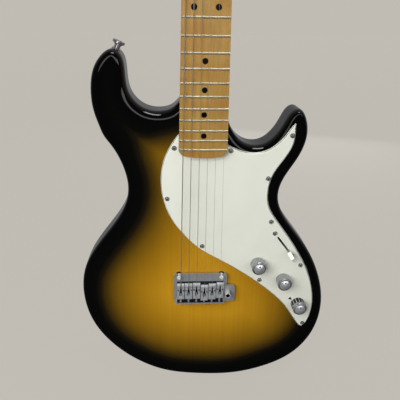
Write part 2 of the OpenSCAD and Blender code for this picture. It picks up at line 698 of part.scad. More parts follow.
// Straight wire runs in the body: to the bridge, to the battery and to the jack
module wire_runs(d, ease) {
    bar_x(spring_cavity_x - channel_run + ease, control_plan[0].x + 2 * channel_run - ease,
        (control_depth + body_t - spring_cavity_depth) / 2, control_plan[0].y - channel_d, d);
    bar_x(battery_x + battery_w / 2 - channel_run + ease, channel_run - spring_cavity_x - ease,
        battery_floor + wire_d, 0, d);
    p = rim_at(jack_u) - rim_out(jack_u) * (jack_flat + jack_bore_len + channel_d);
    q = control_plan[14] + [-channel_run - cut, channel_d + cut];
    w = unit(q - p);
    translate([p.x + w.x * ease, body_t / 2, p.y + w.y * ease])
        rotate([0, atan2(w.x, w.y), 0]) cylinder(d = d, h = norm(q - p) - 2 * ease);
}

module wiring() {
    color("#303030") from_saddle() wire_runs(wire_d, channel_run);
}

// Lengths over which the neck changes from heel to shaft and from shaft to headstock
heel_lap = 4;
heel_blend = 30;
head_step = 13;
head_blend_in = 22;
head_blend_out = 18;

// Sections of the neck: half width, top, depth and squareness along its length
function shaft_top(z) = mix(board_bottom, head_face,
    smooth(scale_len + nut_t, scale_len + nut_t + head_step, z));
function shaft_back(z) = let (grow = smooth(heel_end - heel_lap, heel_end + heel_blend, z),
    shaft = board_top + mix(neck_t_body, neck_t_nut, (z - heel_end) / (scale_len - heel_end)),
    out = mix(pocket_floor, shaft, grow))
    mix(out, head_back, smooth(scale_len - head_blend_in, scale_len + head_blend_out, z));
function shaft_square(z) = mix(mix(9, 2.5, smooth(heel_end, heel_end + 1.5 * heel_blend, z)), 5,
    smooth(scale_len - head_step, scale_len + head_blend_out, z));
function shaft_half(z) = z > scale_len ? nut_w / 2 : neck_w(z) / 2;
function power(v, n) = sign(v) * abs(v) ^ n;
shaft_stations = concat([for (d = [-4, 0, 5, 11, 18, 26, 36, 48]) heel_end + d],
    [for (k = [1:5]) mix(heel_end + 48, scale_len - 24, k / 6)],
    [for (d = [-24, -16, -8, 0]) scale_len + d],
    [for (d = [0, 2, 4, 6.5, 9, 11, 13, 16]) scale_len + nut_t + d]);

module neck_shaft() {
    skin([for (z = shaft_stations) let (a = shaft_half(z), t = shaft_top(z), d = shaft_back(z) - t,
        n = 2 / shaft_square(z)) [for (f = [180:-7.5:0])
            [a * power(cos(f), n), t + d * abs(sin(f)) ^ n, z]]], fan(25));
}

module neck() {
    color("#d9a441") from_saddle() difference() {
        union() {
            slab(board_bottom, pocket_floor) polygon(neck_plan(heel_end, 0));
            neck_shaft();
            slab(head_face, head_back) translate([0, scale_len]) polygon(curve(head_guide, 4));
        }
        translate([0, truss_depth, neck_end_z + 8])
            cylinder(d = truss_d + 2 * set_fit, h = scale_len - neck_end_z);
        translate([0, truss_depth, scale_len + nut_t])
            cylinder(d = truss_nut_d + 1.2, h = truss_nut_len + 6);
        for (p = neck_screw_places()) bar_y(p, body_t + neck_plate_t - long_screw_len - cut,
            pocket_floor + cut, long_screw_d + 2 * set_fit);
        for (i = strings_all) bar_y(tuner_at(i), head_face - cut, head_back + cut, bushing_d);
        for (i = strings_all) at_tuner(i) bar_y([tuner_lug_x, 0], head_back - 9, head_back + cut,
            screw_d + 2 * set_fit);
        bar_y(tree_at(), head_face - cut, head_face + 9, screw_d + 2 * set_fit);
    }
}

tuner_lug_x = 11.5;
tree_t = 1.8;
function tree_at() = [(tree_string_x(4) + tree_string_x(5)) / 2, scale_len + tree_z];
function tree_string_x(i) = mix(nut_x(i), tuner_at(i).x + wrap_r(i), (tree_z - nut_t) / (tuner_first
    + tuner_step * i - nut_t));
function wrap_r(i) = post_d / 2 + rest_gap + string_d[i] / 2;

// One fret's section turned about the crown's axis, with a margin for its slot
module fret_arc(z, half, grow) {
    turn = asin(half / board_radius);
    translate([0, board_axis, z]) rotate([0, 0, -90 - turn]) rotate_extrude(angle = 2 * turn, $fn = 360)
        polygon(grow > 0
            ? [[board_radius - tang_h - grow, -tang_w / 2 - grow], [board_radius + 3, -tang_w / 2 - grow],
                [board_radius + 3, tang_w / 2 + grow], [board_radius - tang_h - grow, tang_w / 2 + grow]]
            : concat([[board_radius + 0.02, -tang_w / 2], [board_radius - tang_h, -tang_w / 2],
                [board_radius - tang_h, tang_w / 2], [board_radius + 0.02, tang_w / 2]],
                [for (a = [0:30:180]) [board_radius + 0.02 + fret_h * sin(a), fret_w / 2 * cos(a)]]));
}

// The space under the fretboard's crown
module under_crown(grow) {
    translate([0, board_axis, neck_end_z - 5]) cylinder(r = board_radius + grow,
        h = scale_len - neck_end_z + 10, $fn = 360);
}

module face_dot(x, z, front, grow) {
    bar_y([x, z], front, board_top + crown_drop(x) + dot_depth + grow, dot_d + 2 * grow);
}

function dot_z(n) = (fret_z(n) + fret_z(n - 1)) / 2;

// All dots on the fretboard, or the holes for them
module dots(grow) {
    for (n = dot_frets) face_dot(0, dot_z(n), board_top - cut, grow);
    for (x = [-1, 1]) face_dot(x * dot_pair / 2, dot_z(octave), board_top - cut, grow);
}

module edge_dots(grow) {
    for (n = concat(dot_frets, [octave])) bar_x(-neck_w(dot_z(n)) / 2 + set_fit - 2 * grow,
        -neck_w(dot_z(n)) / 2 + side_dot_d + grow, board_bottom - 0.3 * board_t, dot_z(n),
        side_dot_d + 2 * grow);
}

module fretboard() {
    color("#e0ac4b") from_saddle() difference() {
        intersection() {
            slab(board_top - cut, board_bottom) polygon(neck_plan(scale_len, 0));
            under_crown(0);
        }
        for (n = [1:fret_count]) fret_arc(fret_z(n), neck_w(fret_z(n)) / 2 + 2, set_fit);
        dots(set_fit);
        edge_dots(set_fit);
    }
}

module frets() {
    color("#c9c6bd") from_saddle() for (n = [1:fret_count])
        fret_arc(fret_z(n), neck_w(fret_z(n)) / 2 - 0.3, 0);
}

module inlay_dots() {
    color("#161412") from_saddle() {
        intersection() {
            dots(0);
            under_crown(-0.02);
        }
        edge_dots(0);
    }
}

module nut() {
    color("#e8e2d0") from_saddle() difference() {
        box([-nut_w / 2, board_top - nut_rise, scale_len], [nut_w / 2, board_bottom, scale_len + nut_t]);
        for (i = strings_all) translate([nut_x(i), 0, 0])
            box([-string_d[i] / 2 - set_fit, board_top - nut_rise - cut, scale_len - cut],
                [string_d[i] / 2 + set_fit, nut_y(i) + string_d[i] / 2 + set_fit, scale_len + nut_t + cut]);
    }
}

module truss_rod() {
    color("#6d6a66") from_saddle() {
        translate([0, truss_depth, neck_end_z + 9]) cylinder(d = truss_d, h = scale_len + nut_t - neck_end_z - 4);
        difference() {
            translate([0, truss_depth, scale_len + nut_t + 1]) cylinder(d = truss_nut_d, h = truss_nut_len, $fn = 6);
            translate([0, truss_depth, scale_len + nut_t + 7])
                cylinder(d = 4, h = truss_nut_len, $fn = 6);
        }
    }
}

module string_tree() {
    p = tree_at();
    y0 = head_face - tree_h - string_d[4] / 2 - rest_gap;
    half = (tree_string_x(5) - tree_string_x(4)) / 2 + 2;
    color("#d4d4d2") from_saddle() difference() {
        union() {
            box([p.x - half, y0 - tree_t, p.y - 2.5], [p.x + half, y0, p.y + 2.5]);
            bar_y(p, y0 - 0.2, head_face, 4.4);
        }
        bar_y(p, y0 - 3, head_face + cut, screw_d + 2 * set_fit);
    }
}

// Small wood screws of the tuner lugs and of the string tree
module headstock_screws() {
    color("#cfcfcc") from_saddle() {
        for (i = strings_all) at_tuner(i) translate([tuner_lug_x, head_back + 2, 0])
            rotate([0, 0, 180]) small_screw(lug_screw_len, small_head_d);
        translate([tree_at().x, head_face - tree_h - string_d[4] / 2 - rest_gap - tree_t, tree_at().y])
            small_screw(tree_h + tree_t + tree_screw_hold, small_head_d);
    }
}

small_head_d = 4.2;
switch_head_d = 6;
lug_screw_len = 10;
tree_screw_hold = 7;
switch_screw_len = 8;

module small_screw(len, head) {
    high = 0.28 * small_head_d;
    bar_y([0, 0], 0, len, screw_d);
    difference() {
        bar_y([0, 0], -high, 0, head);
        box([-head, -high - cut, -0.08 * head], [head, -high / 2, 0.08 * head]);
    }
}

module tuner_bushings() {
    color("#d6d6d4") from_saddle() for (i = strings_all) difference() {
        union() {
            bar_y(tuner_at(i), head_face - bushing_flange_t, head_face, bushing_flange_d);
            bar_y(tuner_at(i), head_face - cut, head_face + bushing_len, bushing_d - 2 * set_fit);
        }
        bar_y(tuner_at(i), head_face - 3, head_face + bushing_len + cut, post_d + 2 * run_fit);
    }
}

module tuner_housings() {
    gear_room = gear_d / 2 + rest_gap;
    reach = gear_room + housing_wall;
    low = worm_off + worm_d / 2 + rest_gap + housing_wall;
    color("#d2d2d0") from_saddle() for (i = strings_all) at_tuner(i) difference() {
        union() {
            box([2 - button_root, head_back, -low], [reach, head_back + housing_t, reach]);
            box([reach - cut, head_back, -4], [tuner_lug_x + 4, head_back + 2, 4]);
        }
        bar_y([0, 0], head_back - cut, head_back + gear_t + 2 + rest_gap, 2 * gear_room);
        bar_x(-button_root, reach - housing_wall, worm_y, -worm_off, worm_d + 2 * rest_gap);
        bar_y([tuner_lug_x, 0], head_back - cut, head_back + 3, screw_d + 2 * set_fit);
    }
}

module tuner_post(i) {
    color("#dadad8") from_saddle() at_tuner(i) difference() {
        union() {
            bar_y([0, 0], head_face - post_h, head_back + 2, post_d);
            bar_y([0, 0], head_back + rest_gap + 1, head_back + rest_gap + 1 + gear_t, gear_d);
        }
        box([-post_d, head_face - post_h - cut, -0.6], [post_d, head_face - post_h + 3, 0.6]);
    }
}

module tuner_button(i) {
    r = button_d / 2;
    color("#dcdcda") from_saddle() at_tuner(i) translate([0, worm_y, -worm_off]) {
        bar_x(-button_root - 2, 4.5, 0, 0, worm_shaft_d);
        bar_x(-6, 4, 0, 0, worm_d);
        intersection() {
            translate([-button_root, 0, 0]) rotate([0, -90, 0]) rotate_extrude() polygon([[0, 0], [3, 0],
                [3.4, 2], [r * 0.9, 4.5], [r, button_len * 0.5], [r * 0.94, button_len - 2.5],
                [r * 0.75, button_len - 0.6], [r * 0.5, button_len], [0, button_len]]);
            box([-button_root - button_len - cut, -button_t / 2, -r - cut],
                [-button_root + cut, button_t / 2, r + cut]);
        }
    }
}

module pickguard() {
    color("#dcddd2") from_saddle() difference() {
        slab(guard_top, 0) polygon(curve(guard_guide, guide_steps));
        slab(guard_top - cut, cut) polygon(neck_plan(heel_end + 20, neck_fit));
        for (p = guard_screws) bar_y(p, guard_top - cut, cut, screw_d + 2 * set_fit);
        for (p = [volume_at, tone_at, selector_at]) bar_y(p, guard_top - cut, cut, guard_hole_d);
        at_switch() {
            box([-switch_slot_w / 2, guard_top - cut, -switch_slot_len / 2],
                [switch_slot_w / 2, cut, switch_slot_len / 2]);
            for (z = [-1, 1]) bar_y([0, z * switch_screw_span / 2], guard_top - cut, cut,
                screw_d + 2 * set_fit);
        }
    }
}

// Screws of the pickguard, the back plates and the jack plate
module cover_screws() {
    color("#b9b9b6") from_saddle() {
        for (p = guard_screws) translate([p.x, guard_top, p.y]) plate_screw();
        for (p = concat(spring_plate_screws, battery_plate_screws))
            translate([p.x, body_t + cover_t, p.y]) rotate([0, 0, 180]) plate_screw();
        on_rim(jack_u) for (z = [-1, 1]) translate([cover_t - jack_flat, 0, z * jack_screw_z])
            rotate([0, 0, 90]) plate_screw();
    }
}

module neck_plate() {
    color("#cfd0d0") from_saddle() difference() {
        slab(body_t, body_t + neck_plate_t) translate([0, neck_plate_z])
            round_rect(neck_plate_w, neck_plate_len, 5);
        for (p = neck_screw_places()) bar_y(p, body_t - cut, body_t + neck_plate_t + cut,
            long_screw_d + 2 * set_fit);
    }
}

// The four neck screws and the two screws of the spring claw
module long_screws() {
    color("#c4c4c2") from_saddle() {
        for (p = neck_screw_places()) translate([p.x, body_t + neck_plate_t, p.y])
            rotate([0, 0, 180]) long_screw();
        for (x = [-1, 1]) translate([x * claw_screw_x, spring_y, claw_z]) rotate([90, 0, 0]) long_screw();
    }
}

module strap_buttons() {
    head = strap_head_d / 2;
    waist = strap_waist_d / 2;
    color("#c8c8c6") from_saddle() for (u = [strap_u, strap_low_u]) on_rim(u)
        translate([-strap_seat, 0, 0]) rotate([0, 90, 0]) difference() {
            rotate_extrude() polygon([[0, 0], [waist + strap_flare, 0], [waist + strap_flare, strap_seat],
                [waist, strap_seat + strap_flare],
                [waist, strap_h - 2 * strap_rim], [head - 0.6 * strap_rim, strap_h - 1.24 * strap_rim],
                [head, strap_h - strap_rim], [head, strap_h], [0, strap_h]]);
            translate([0, 0, -cut]) cylinder(d = strap_screw_d + 2 * set_fit, h = strap_h + 2 * cut);
            translate([0, 0, strap_h - strap_rim])
                cylinder(d = strap_screw_head_d + 2 * set_fit, h = strap_rim + cut);
        }
}

strap_screw_head_d = 8;
strap_head = 0.8 * strap_rim;

module strap_button_screws() {
    color("#b0b0ae") from_saddle() for (u = [strap_u, strap_low_u]) on_rim(u)
        translate([strap_h - strap_rim - strap_seat, 0, 0]) rotate([0, 0, 90]) difference() {
            union() {
                bar_y([0, 0], -strap_head, 0, strap_screw_head_d);
                bar_y([0, 0], -cut, strap_h - strap_rim + strap_screw_len - strap_seat, strap_screw_d);
            }
            cross_slot(strap_screw_head_d, strap_head);
        }
}

module jack_plate() {
    color("#c9c9c7") from_saddle() on_rim(jack_u) difference() {
        box([-jack_flat, -jack_plate_w / 2, -jack_plate_len / 2],
            [cover_t - jack_flat, jack_plate_w / 2, jack_plate_len / 2]);
        bar_x(-jack_flat - cut, 1, 0, 0, jack_thread_d + 2 * set_fit);
        for (z = [-1, 1]) bar_x(-jack_flat - cut, 1, 0, z * jack_screw_z, screw_d + 2 * set_fit);
    }
}

// The jack with its threaded collar and nut; the plug enters along the rim's normal
module output_jack() {
    face = cover_t - jack_flat;
    end = face + 3.4 - jack_bore_len;
    color("#bdbdbb") from_saddle() on_rim(jack_u) difference() {
        union() {
            bar_x(end - 3, face + 3.4, 0, 0, jack_thread_d);
            bar_x(end - 3, -jack_flat, 0, 0, jack_hole_d - 4);
            translate([face, 0, 0]) rotate([0, 90, 0]) cylinder(d = jack_thread_d + 5, h = 2.4, $fn = 6);
        }
        bar_x(end, face + 5, 0, 0, 2 * jack_bore_r);
    }
}

// The heads stand clear of the plate, so that it can rock under them
post_head_t = 1.8;
post_head_y = plate_top - 1.6;
anchor_rim_t = 0.6;
post_foot = anchor_rim_t + 0.1;

module bridge_posts() {
    color("#d0d1d2") from_saddle() for (x = [-1, 1]) translate([x * bridge_post_span / 2, 0, bridge_post_z])
        difference() {
            union() {
                bar_y([0, 0], post_head_y - post_head_t, post_head_y, bridge_post_head_d);
                bar_y([0, 0], post_head_y - cut, cut, groove_d);
                bar_y([0, 0], -(plate_gap - post_head_t) - post_foot, -post_foot, bridge_post_head_d);
                bar_y([0, 0], -post_foot - cut, anchor_len - 3, bridge_thread_d);
            }
            translate([0, post_head_y - post_head_t - cut, 0]) rotate([-90, 0, 0])
                cylinder(d = bridge_post_head_d / 2, h = post_head_t, $fn = 6);
        }
}

module post_anchors() {
    color("#8d8b86") from_saddle() for (x = [-1, 1]) translate([x * bridge_post_span / 2, 0, bridge_post_z])
        difference() {
            union() {
                bar_y([0, 0], -anchor_rim_t / 2, anchor_len, anchor_d);
                bar_y([0, 0], -anchor_rim_t, 0, anchor_rim_d);
            }
            bar_y([0, 0], -anchor_rim_t - cut, anchor_len + cut, bridge_thread_d + 2 * set_fit);
        }
}

// The notch in which the plate bears on a post: a blunt V in section
module pivot_notch() {
    r = groove_d / 2 + 2 * run_fit;
    slope = 0.6;
    for (s = [-1, 1]) translate([0, pivot_y, 0]) rotate([-90 * s, 0, 0])
        cylinder(r1 = r, r2 = r + slope, h = plate_t / 2 + 0.01);
    box([-r - slope, plate_top - cut, 0], [r + slope, plate_under + cut, 20]);
}

module bridge_plate() {
    color("#b8babd") from_saddle() difference() {
        union() {
            slab(plate_top, plate_under) {
                translate([0, (plate_front + plate_rear) / 2]) round_rect(plate_w, plate_front - plate_rear, 3);
                translate([(lobe_x + socket_x) / 2 - 5, (lobe_front + lobe_rear) / 2])
                    round_rect(lobe_x - socket_x + 10, lobe_front - lobe_rear, 4);
            }
            box([-plate_w / 2 + 3, plate_top - rear_wall_h, plate_rear],
                [plate_w / 2 - 3, plate_under, plate_rear + rear_wall_t]);
        }
        for (x = [-1, 1]) translate([x * bridge_post_span / 2, 0, bridge_post_z]) pivot_notch();
        for (i = strings_all) bar_y([saddle_x(i), block_mid], plate_top - cut, plate_under + cut, string_bore_d + 1);
        for (i = strings_all) translate([saddle_x(i), inton_y, plate_rear - cut])
            cylinder(d = inton_screw_d + 2 * set_fit, h = rear_wall_t + 2 * cut);
        bar_y([socket_x, socket_z], plate_top - cut, plate_under + cut, socket_d - 2 + 2 * set_fit);
    }
}

inton_y = plate_top - rear_wall_h / 2 - 0.3;

module tremolo_block() {
    color("#7d7f82") from_saddle() difference() {
        box([-block_w / 2, plate_under, block_front - block_t], [block_w / 2, block_end, block_front]);
        for (i = strings_all) {
            bar_y([saddle_x(i), block_mid], plate_under - cut, block_end + cut, string_bore_d);
            bar_y([saddle_x(i), block_mid], ball_seat, block_end + cut, ball_recess_d);
        }
    }
}

// A saddle about its string contact, with the slot through which the string rises
module saddle(i) {
    y = saddle_y(i) + string_d[i] / 2 + string_gap;
    half = (saddle_spread / (string_count - 1) - saddle_gap) / 2;
    under = plate_top - saddle_lift;
    translate([saddle_x(i), 0, saddle_comp[i]]) difference() {
        union() {
            box([-half, y + 1, saddle_nose - saddle_len], [half, under, saddle_nose]);
            bar_x(-half, half, y + crest_r, 0, 2 * crest_r);
        }
        box([-saddle_slot_w / 2, y - 5, -saddle_slot_rear], [saddle_slot_w / 2, under + cut, -saddle_slot_front]);
        box([-saddle_slot_w / 2, y - 5, -saddle_slot_front - cut], [saddle_slot_w / 2, y + 4.5, -crest_r * sin(45)]);
        for (x = [-1, 1]) bar_y([x * height_screw_x(), -height_screw_back], y - 5, under + cut,
            height_screw_d + 2 * set_fit);
        translate([0, inton_y, saddle_nose - saddle_len - cut])
            cylinder(d = inton_screw_d + 2 * set_fit, h = 4.5);
    }
}

function height_screw_x() = saddle_slot_w / 4 + (saddle_spread / (string_count - 1) - saddle_gap) / 4;
height_screw_back = 8;

module saddles() {
    color("#c6c8ca") from_saddle() for (i = strings_all) saddle(i);
}

module saddle_screws() {
    color("#a4a6a8") from_saddle() for (i = strings_all, x = [-1, 1])
        bar_y([saddle_x(i) + x * height_screw_x(), saddle_comp[i] - height_screw_back],
            saddle_y(i) + string_d[i] / 2 + 0.6, plate_top, height_screw_d);
}

inton_reach = 4.5;
inton_head_d = inton_screw_d + 1;
inton_head_t = 1.2;

// Screws from the rear wall through the saddles, which end in the slots
module intonation_screws() {
    color("#cfd0d0") from_saddle() for (i = strings_all) translate([saddle_x(i), inton_y, plate_rear]) {
        translate([0, 0, -inton_head_t]) cylinder(d = inton_head_d, h = inton_head_t);
        translate([0, 0, -cut]) cylinder(d = inton_screw_d,
            h = cut - plate_rear - saddle_slot_rear + saddle_comp[i] + inton_reach);
    }
}

module arm_socket() {
    color("#dadbdc") from_saddle() difference() {
        union() {
            bar_y([socket_x, socket_z], plate_top - socket_h, plate_top, socket_d);
            bar_y([socket_x, socket_z], plate_top - cut, plate_under, socket_d - 2);
        }
        bar_y([socket_x, socket_z], plate_top - socket_h - cut, plate_under - 0.8, socket_bore_d);
    }
}

module spring_claw() {
    half = spring_step + spring_d / 2;
    color("#9b9a96") from_saddle() difference() {
        box([-half, spring_y - 6, claw_z], [half, spring_y + 6, claw_z + claw_t]);
        for (x = [-1, 1]) translate([x * claw_screw_x, spring_y, claw_z - cut])
            cylinder(d = long_screw_d + 2 * set_fit, h = claw_t + 2 * cut);
    }
}

// Closed coils between the block and the claw, as plain sleeves
module tremolo_springs() {
    color("#8f9092") from_saddle() for (x = [-1, 0, 1]) translate([x * spring_step, spring_y, spring_front])
        difference() {
            cylinder(d = spring_d, h = claw_z - rest_gap - spring_front);
            translate([0, 0, 2]) cylinder(d = spring_d - 3, h = claw_z - rest_gap - spring_front - 4);
        }
}

module tremolo_cover() {
    color("#e3e3da") from_saddle() difference() {
        slab(body_t, body_t + cover_t) translate([0, spring_plate_z])
            round_rect(spring_plate_w, spring_plate_len, 5);
        box([-saddle_spread / 2 - 5, body_t - cut, block_mid - 8],
            [saddle_spread / 2 + 5, body_t + cover_t + cut, block_mid + 6]);
        for (p = spring_plate_screws) bar_y(p, body_t - cut, body_t + cover_t + cut, screw_d + 2 * set_fit);
    }
}

module battery_cover() {
    color("#1d1d1f") from_saddle() difference() {
        slab(body_t, body_t + cover_t) translate([battery_x, battery_z])
            round_rect(battery_plate_w, battery_plate_len, 5);
        for (p = battery_plate_screws) bar_y(p, body_t - cut, body_t + cover_t + cut, screw_d + 2 * set_fit);
    }
}

module batteries() {
    color("#55585c") from_saddle() for (x = [-1, 0, 1], z = [-1, 1])
        translate([battery_x + x * cell_step, battery_floor + cell_d / 2 + rest_gap,
            battery_z + z * (cell_len + 1) / 2 - cell_len / 2]) {
            cylinder(d = cell_d, h = cell_len - 1.5);
            cylinder(d = 5.4, h = cell_len);
        }
}

circuit_at = [107, 16];
circuit_w = 34;
circuit_len = 28;
circuit_t = 1.6;

// A block on the floor of the control space, its sides given as shares of the board
module circuit_block(x, z, high) {
    box([circuit_at.x + x[0] * circuit_w, control_depth - high, circuit_at.y + z[0] * circuit_len],
        [circuit_at.x + x[1] * circuit_w, control_depth, circuit_at.y + z[1] * circuit_len]);
}

module circuit_board() {
    color("#1f5c34") from_saddle() {
        circuit_block([-0.5, 0.5], [-0.5, 0.5], circuit_t);
        circuit_block([-0.32, 0.03], [-0.29, 0.14], 2.5 * circuit_t);
        circuit_block([0.15, 0.38], [-0.07, 0.36], 3.75 * circuit_t);
    }
}

// A control housing under the pickguard with its bushing through it
module pot_housing(at, d, t) {
    difference() {
        union() {
            bar_y(at, 0, t, d);
            bar_y(at, guard_top - pot_bushing_h, 1, pot_bushing_d);
        }
        bar_y(at, guard_top - pot_bushing_h - cut, t - 2, shaft_d + 2 * run_fit);
    }
}

module control_pots() {
    color("#9c9d9b") from_saddle() {
        pot_housing(volume_at, pot_d, pot_t);
        pot_housing(tone_at, pot_d, pot_t);
    }
}

module selector_switch() {
    color("#3a3b3d") from_saddle() pot_housing(selector_at, selector_d, selector_t);
}

module shaft(at, t) {
    color("#c2c3c3") from_saddle() bar_y(at, guard_top - knob_h + knob_dome + 2, t - 2 - rest_gap, shaft_d);
}

// A crowned knob with a hollow foot and a bore for its shaft
module knob(at, step) {
    r = knob_d / 2;
    base = r - step;
    color("#b4b6b8") from_saddle() translate([at.x, guard_top, at.y]) difference() {
        rotate([90, 0, 0]) rotate_extrude() polygon(concat([[0, knob_gap], [base, knob_gap],
            [base, knob_gap + dial_h], [r, knob_gap + dial_h]],
            [for (a = [0:15:45]) [r - 1.2 * (1 - cos(a)), knob_h - knob_dome - 0.5 + 1.2 * sin(a)]],
            [for (x = [0.85:-0.17:0.17]) [x * r, knob_h - knob_dome * x ^ 2]], [[0, knob_h]]));
        bar_y([0, 0], -knob_gap - knob_recess, 0, pot_bushing_d + 5);
        bar_y([0, 0], knob_dome + 2 - knob_h - set_fit, 0, shaft_d + 2 * set_fit);
    }
}

module selector_dial() {
    r = knob_d / 2;
    color("#141414") from_saddle() translate([selector_at.x, guard_top, selector_at.y]) difference() {
        bar_y([0, 0], -knob_gap - dial_h + set_fit, -knob_gap, knob_d);
        bar_y([0, 0], -knob_gap - dial_h - cut, cut, 2 * (r - dial_t + set_fit));
    }
}

// The switch frame hangs under the pickguard; a pin carries the lever in its gap
module blade_switch() {
    gap = lever_t + 1.6;
    half = switch_frame_w / 2;
    color("#8a8c8e") from_saddle() at_switch() {
        difference() {
            union() {
                box([-half, 0, -switch_screw_span / 2 - 3.5], [half, 1.5, switch_screw_span / 2 + 3.5]);
                box([-half, 1, -switch_room - 1.5], [half, switch_pivot + 8, switch_room + 1.5]);
            }
            box([-gap / 2, -cut, -switch_room], [gap / 2, switch_pivot + 6.5, switch_room]);
            for (z = [-1, 1]) bar_y([0, z * switch_screw_span / 2], -cut, 3, screw_d + 2 * set_fit);
        }
        bar_x(-gap / 2 - 1, gap / 2 + 1, switch_pivot, 0, switch_pin_d);
    }
}

module switch_screws() {
    color("#b9b9b6") from_saddle() at_switch() for (z = [-1, 1])
        translate([0, guard_top, z * switch_screw_span / 2]) small_screw(switch_screw_len, switch_head_d);
}

// The lever swings about its pin; it rests at the lower end of its slot
module at_lever() {
    at_switch() translate([0, switch_pivot, 0]) rotate([switch_swing, 0, 0]) children();
}

module switch_lever() {
    color("#a9abad") from_saddle() at_lever() difference() {
        union() {
            bar_x(-lever_t / 2 - 0.5, lever_t / 2 + 0.5, 0, 0, switch_pin_d + 4);
            box([-lever_t / 2, -tip_root - 4, -lever_w / 2], [lever_t / 2, 0, lever_w / 2]);
        }
        bar_x(-5, 5, 0, 0, switch_pin_d + 2 * run_fit);
    }
}

module switch_tip() {
    color("#efefe8") from_saddle() at_lever() difference() {
        intersection() {
            box([-tip_t / 2, -tip_root - tip_len, -tip_w / 2], [tip_t / 2, -tip_root, tip_w / 2]);
            translate([0, -tip_root - tip_len + 8, 0]) rotate([0, 90, 0]) cylinder(r = 8.6, h = tip_t + 2, center = true);
        }
        box([-lever_t / 2 - set_fit, -tip_root - 4 - set_fit, -lever_w / 2 - set_fit],
            [lever_t / 2 + set_fit, cut - tip_root, lever_w / 2 + set_fit]);
    }
}

// Distance of a string's axis from the middle of the crest that it bends over
function ride(i) = crest_r + string_d[i] / 2 + string_gap;

// Path of a string: ball end, block, saddle, nut, tree, then round its post
function string_path(i) = let (x = saddle_x(i), t = tuner_at(i), r = wrap_r(i),
    wrap = head_face - wrap_h, top = scale_len + nut_t)
    concat([[x, ball_seat + 0.9 * ball_d, block_mid], [x, ball_seat + 0.05 * ball_d, block_mid],
        [x, ball_seat, block_mid], [x, plate_top - 1, block_mid],
        for (a = [45, 22.5, 0]) [x, saddle_y(i) + ride(i) * (1 - cos(a)), saddle_comp[i] - ride(i) * sin(a)],
        [nut_x(i), nut_y(i), scale_len], [nut_x(i), nut_y(i), top]],
        i < 4 ? [] : [[tree_string_x(i), head_face - tree_h, scale_len + tree_z]],
        [for (a = [0:20:360 * wrap_turns]) [t.x + r * cos(a),
            wrap + (string_d[i] + rest_gap) * a / 360, t.y + r * sin(a)]]);

module strings() {
    color("#bfbdb6") from_saddle() for (i = strings_all) let (p = string_path(i), r = string_d[i] / 2)
        tube(p, [for (k = [0:len(p) - 1]) k < 2 ? ball_d / 2 : r], 6);
}

body();
neck();
fretboard();
frets();
inlay_dots();
nut();
truss_rod();
string_tree();
headstock_screws();
tuner_housings();
tuner_bushings();
pickguard();
cover_screws();
neck_plate();
long_screws();
strap_buttons();
strap_button_screws();
jack_plate();
output_jack();
bridge_posts();
post_anchors();
spring_claw();
tremolo_springs();
tremolo_cover();
battery_cover();
batteries();
circuit_board();
control_pots();
selector_switch();
blade_switch();
switch_screws();
wiring();
strings();
knob(volume_at, 0);  // volume_knob
shaft(volume_at, pot_t);  // volume_shaft
knob(tone_at, 0);  // tone_knob
shaft(tone_at, pot_t);  // tone_shaft
knob(selector_at, dial_t);  // selector_knob
selector_dial();
shaft(selector_at, selector_t);  // selector_shaft
switch_lever();
switch_tip();
bridge_plate();
tremolo_block();
saddles();
saddle_screws();
intonation_screws();
arm_socket();
for (i = strings_all) tuner_post(i);
for (i = strings_all) tuner_button(i);
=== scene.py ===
import bmesh
import bpy
import numpy as np
from mathutils import Euler, Matrix, Vector
from mathutils.geometry import delaunay_2d_cdt


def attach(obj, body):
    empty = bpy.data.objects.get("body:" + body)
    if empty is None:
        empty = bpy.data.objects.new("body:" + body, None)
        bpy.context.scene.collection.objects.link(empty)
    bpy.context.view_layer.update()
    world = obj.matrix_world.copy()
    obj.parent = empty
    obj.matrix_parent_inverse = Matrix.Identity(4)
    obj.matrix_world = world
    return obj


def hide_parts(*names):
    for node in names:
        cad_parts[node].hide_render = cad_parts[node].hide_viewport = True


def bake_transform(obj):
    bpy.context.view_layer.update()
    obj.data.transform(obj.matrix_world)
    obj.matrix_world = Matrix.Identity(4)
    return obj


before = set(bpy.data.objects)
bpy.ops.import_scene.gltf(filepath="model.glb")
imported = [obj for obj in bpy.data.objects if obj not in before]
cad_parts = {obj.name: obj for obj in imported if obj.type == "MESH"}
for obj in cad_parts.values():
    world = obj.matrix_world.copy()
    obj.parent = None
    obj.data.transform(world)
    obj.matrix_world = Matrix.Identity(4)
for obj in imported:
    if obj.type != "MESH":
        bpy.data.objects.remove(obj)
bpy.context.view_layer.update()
scene = bpy.context.scene
scene.view_settings.view_transform = "Standard"
print("frame loaded with", len(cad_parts), "nodes")

saddleLine = -664.0     # height of the saddles in the part's frame, in mm


# Millimetres from the saddle line and the body face become metres in the part's frame
def place(points):
    return (np.asarray(points, float).reshape(-1, 3) + [0, 0, saddleLine]) / 1000


# Camera at the photograph's angle: rows of the turn are the picture's right, down and forward
cameraView = dict(lens=38.8, sensor=36, clip=(0.02, 60), at=(-0.03124, -0.49163, -0.33973),
                  turn=(23.064, -3.1, -0.197))


def setCamera(view):
    turn = np.array(Euler(np.radians(view["turn"])).to_matrix())
    right, down, forward = turn @ [[1, 0, 0], [0, 0, -1], [0, 1, 0]]
    data = bpy.data.cameras.new("camera")
    data.lens, data.sensor_width, data.sensor_fit = view["lens"], view["sensor"], "HORIZONTAL"
    data.clip_start, data.clip_end = view["clip"]
    camera = bpy.data.objects.new("camera", data)
    scene.collection.objects.link(camera)
    axes = Matrix(np.stack([right, -down, -forward], 1).tolist()).to_4x4()
    camera.matrix_world = Matrix.Translation(view["at"]) @ axes
    scene.camera = camera


setCamera(cameraView)
print("camera set")


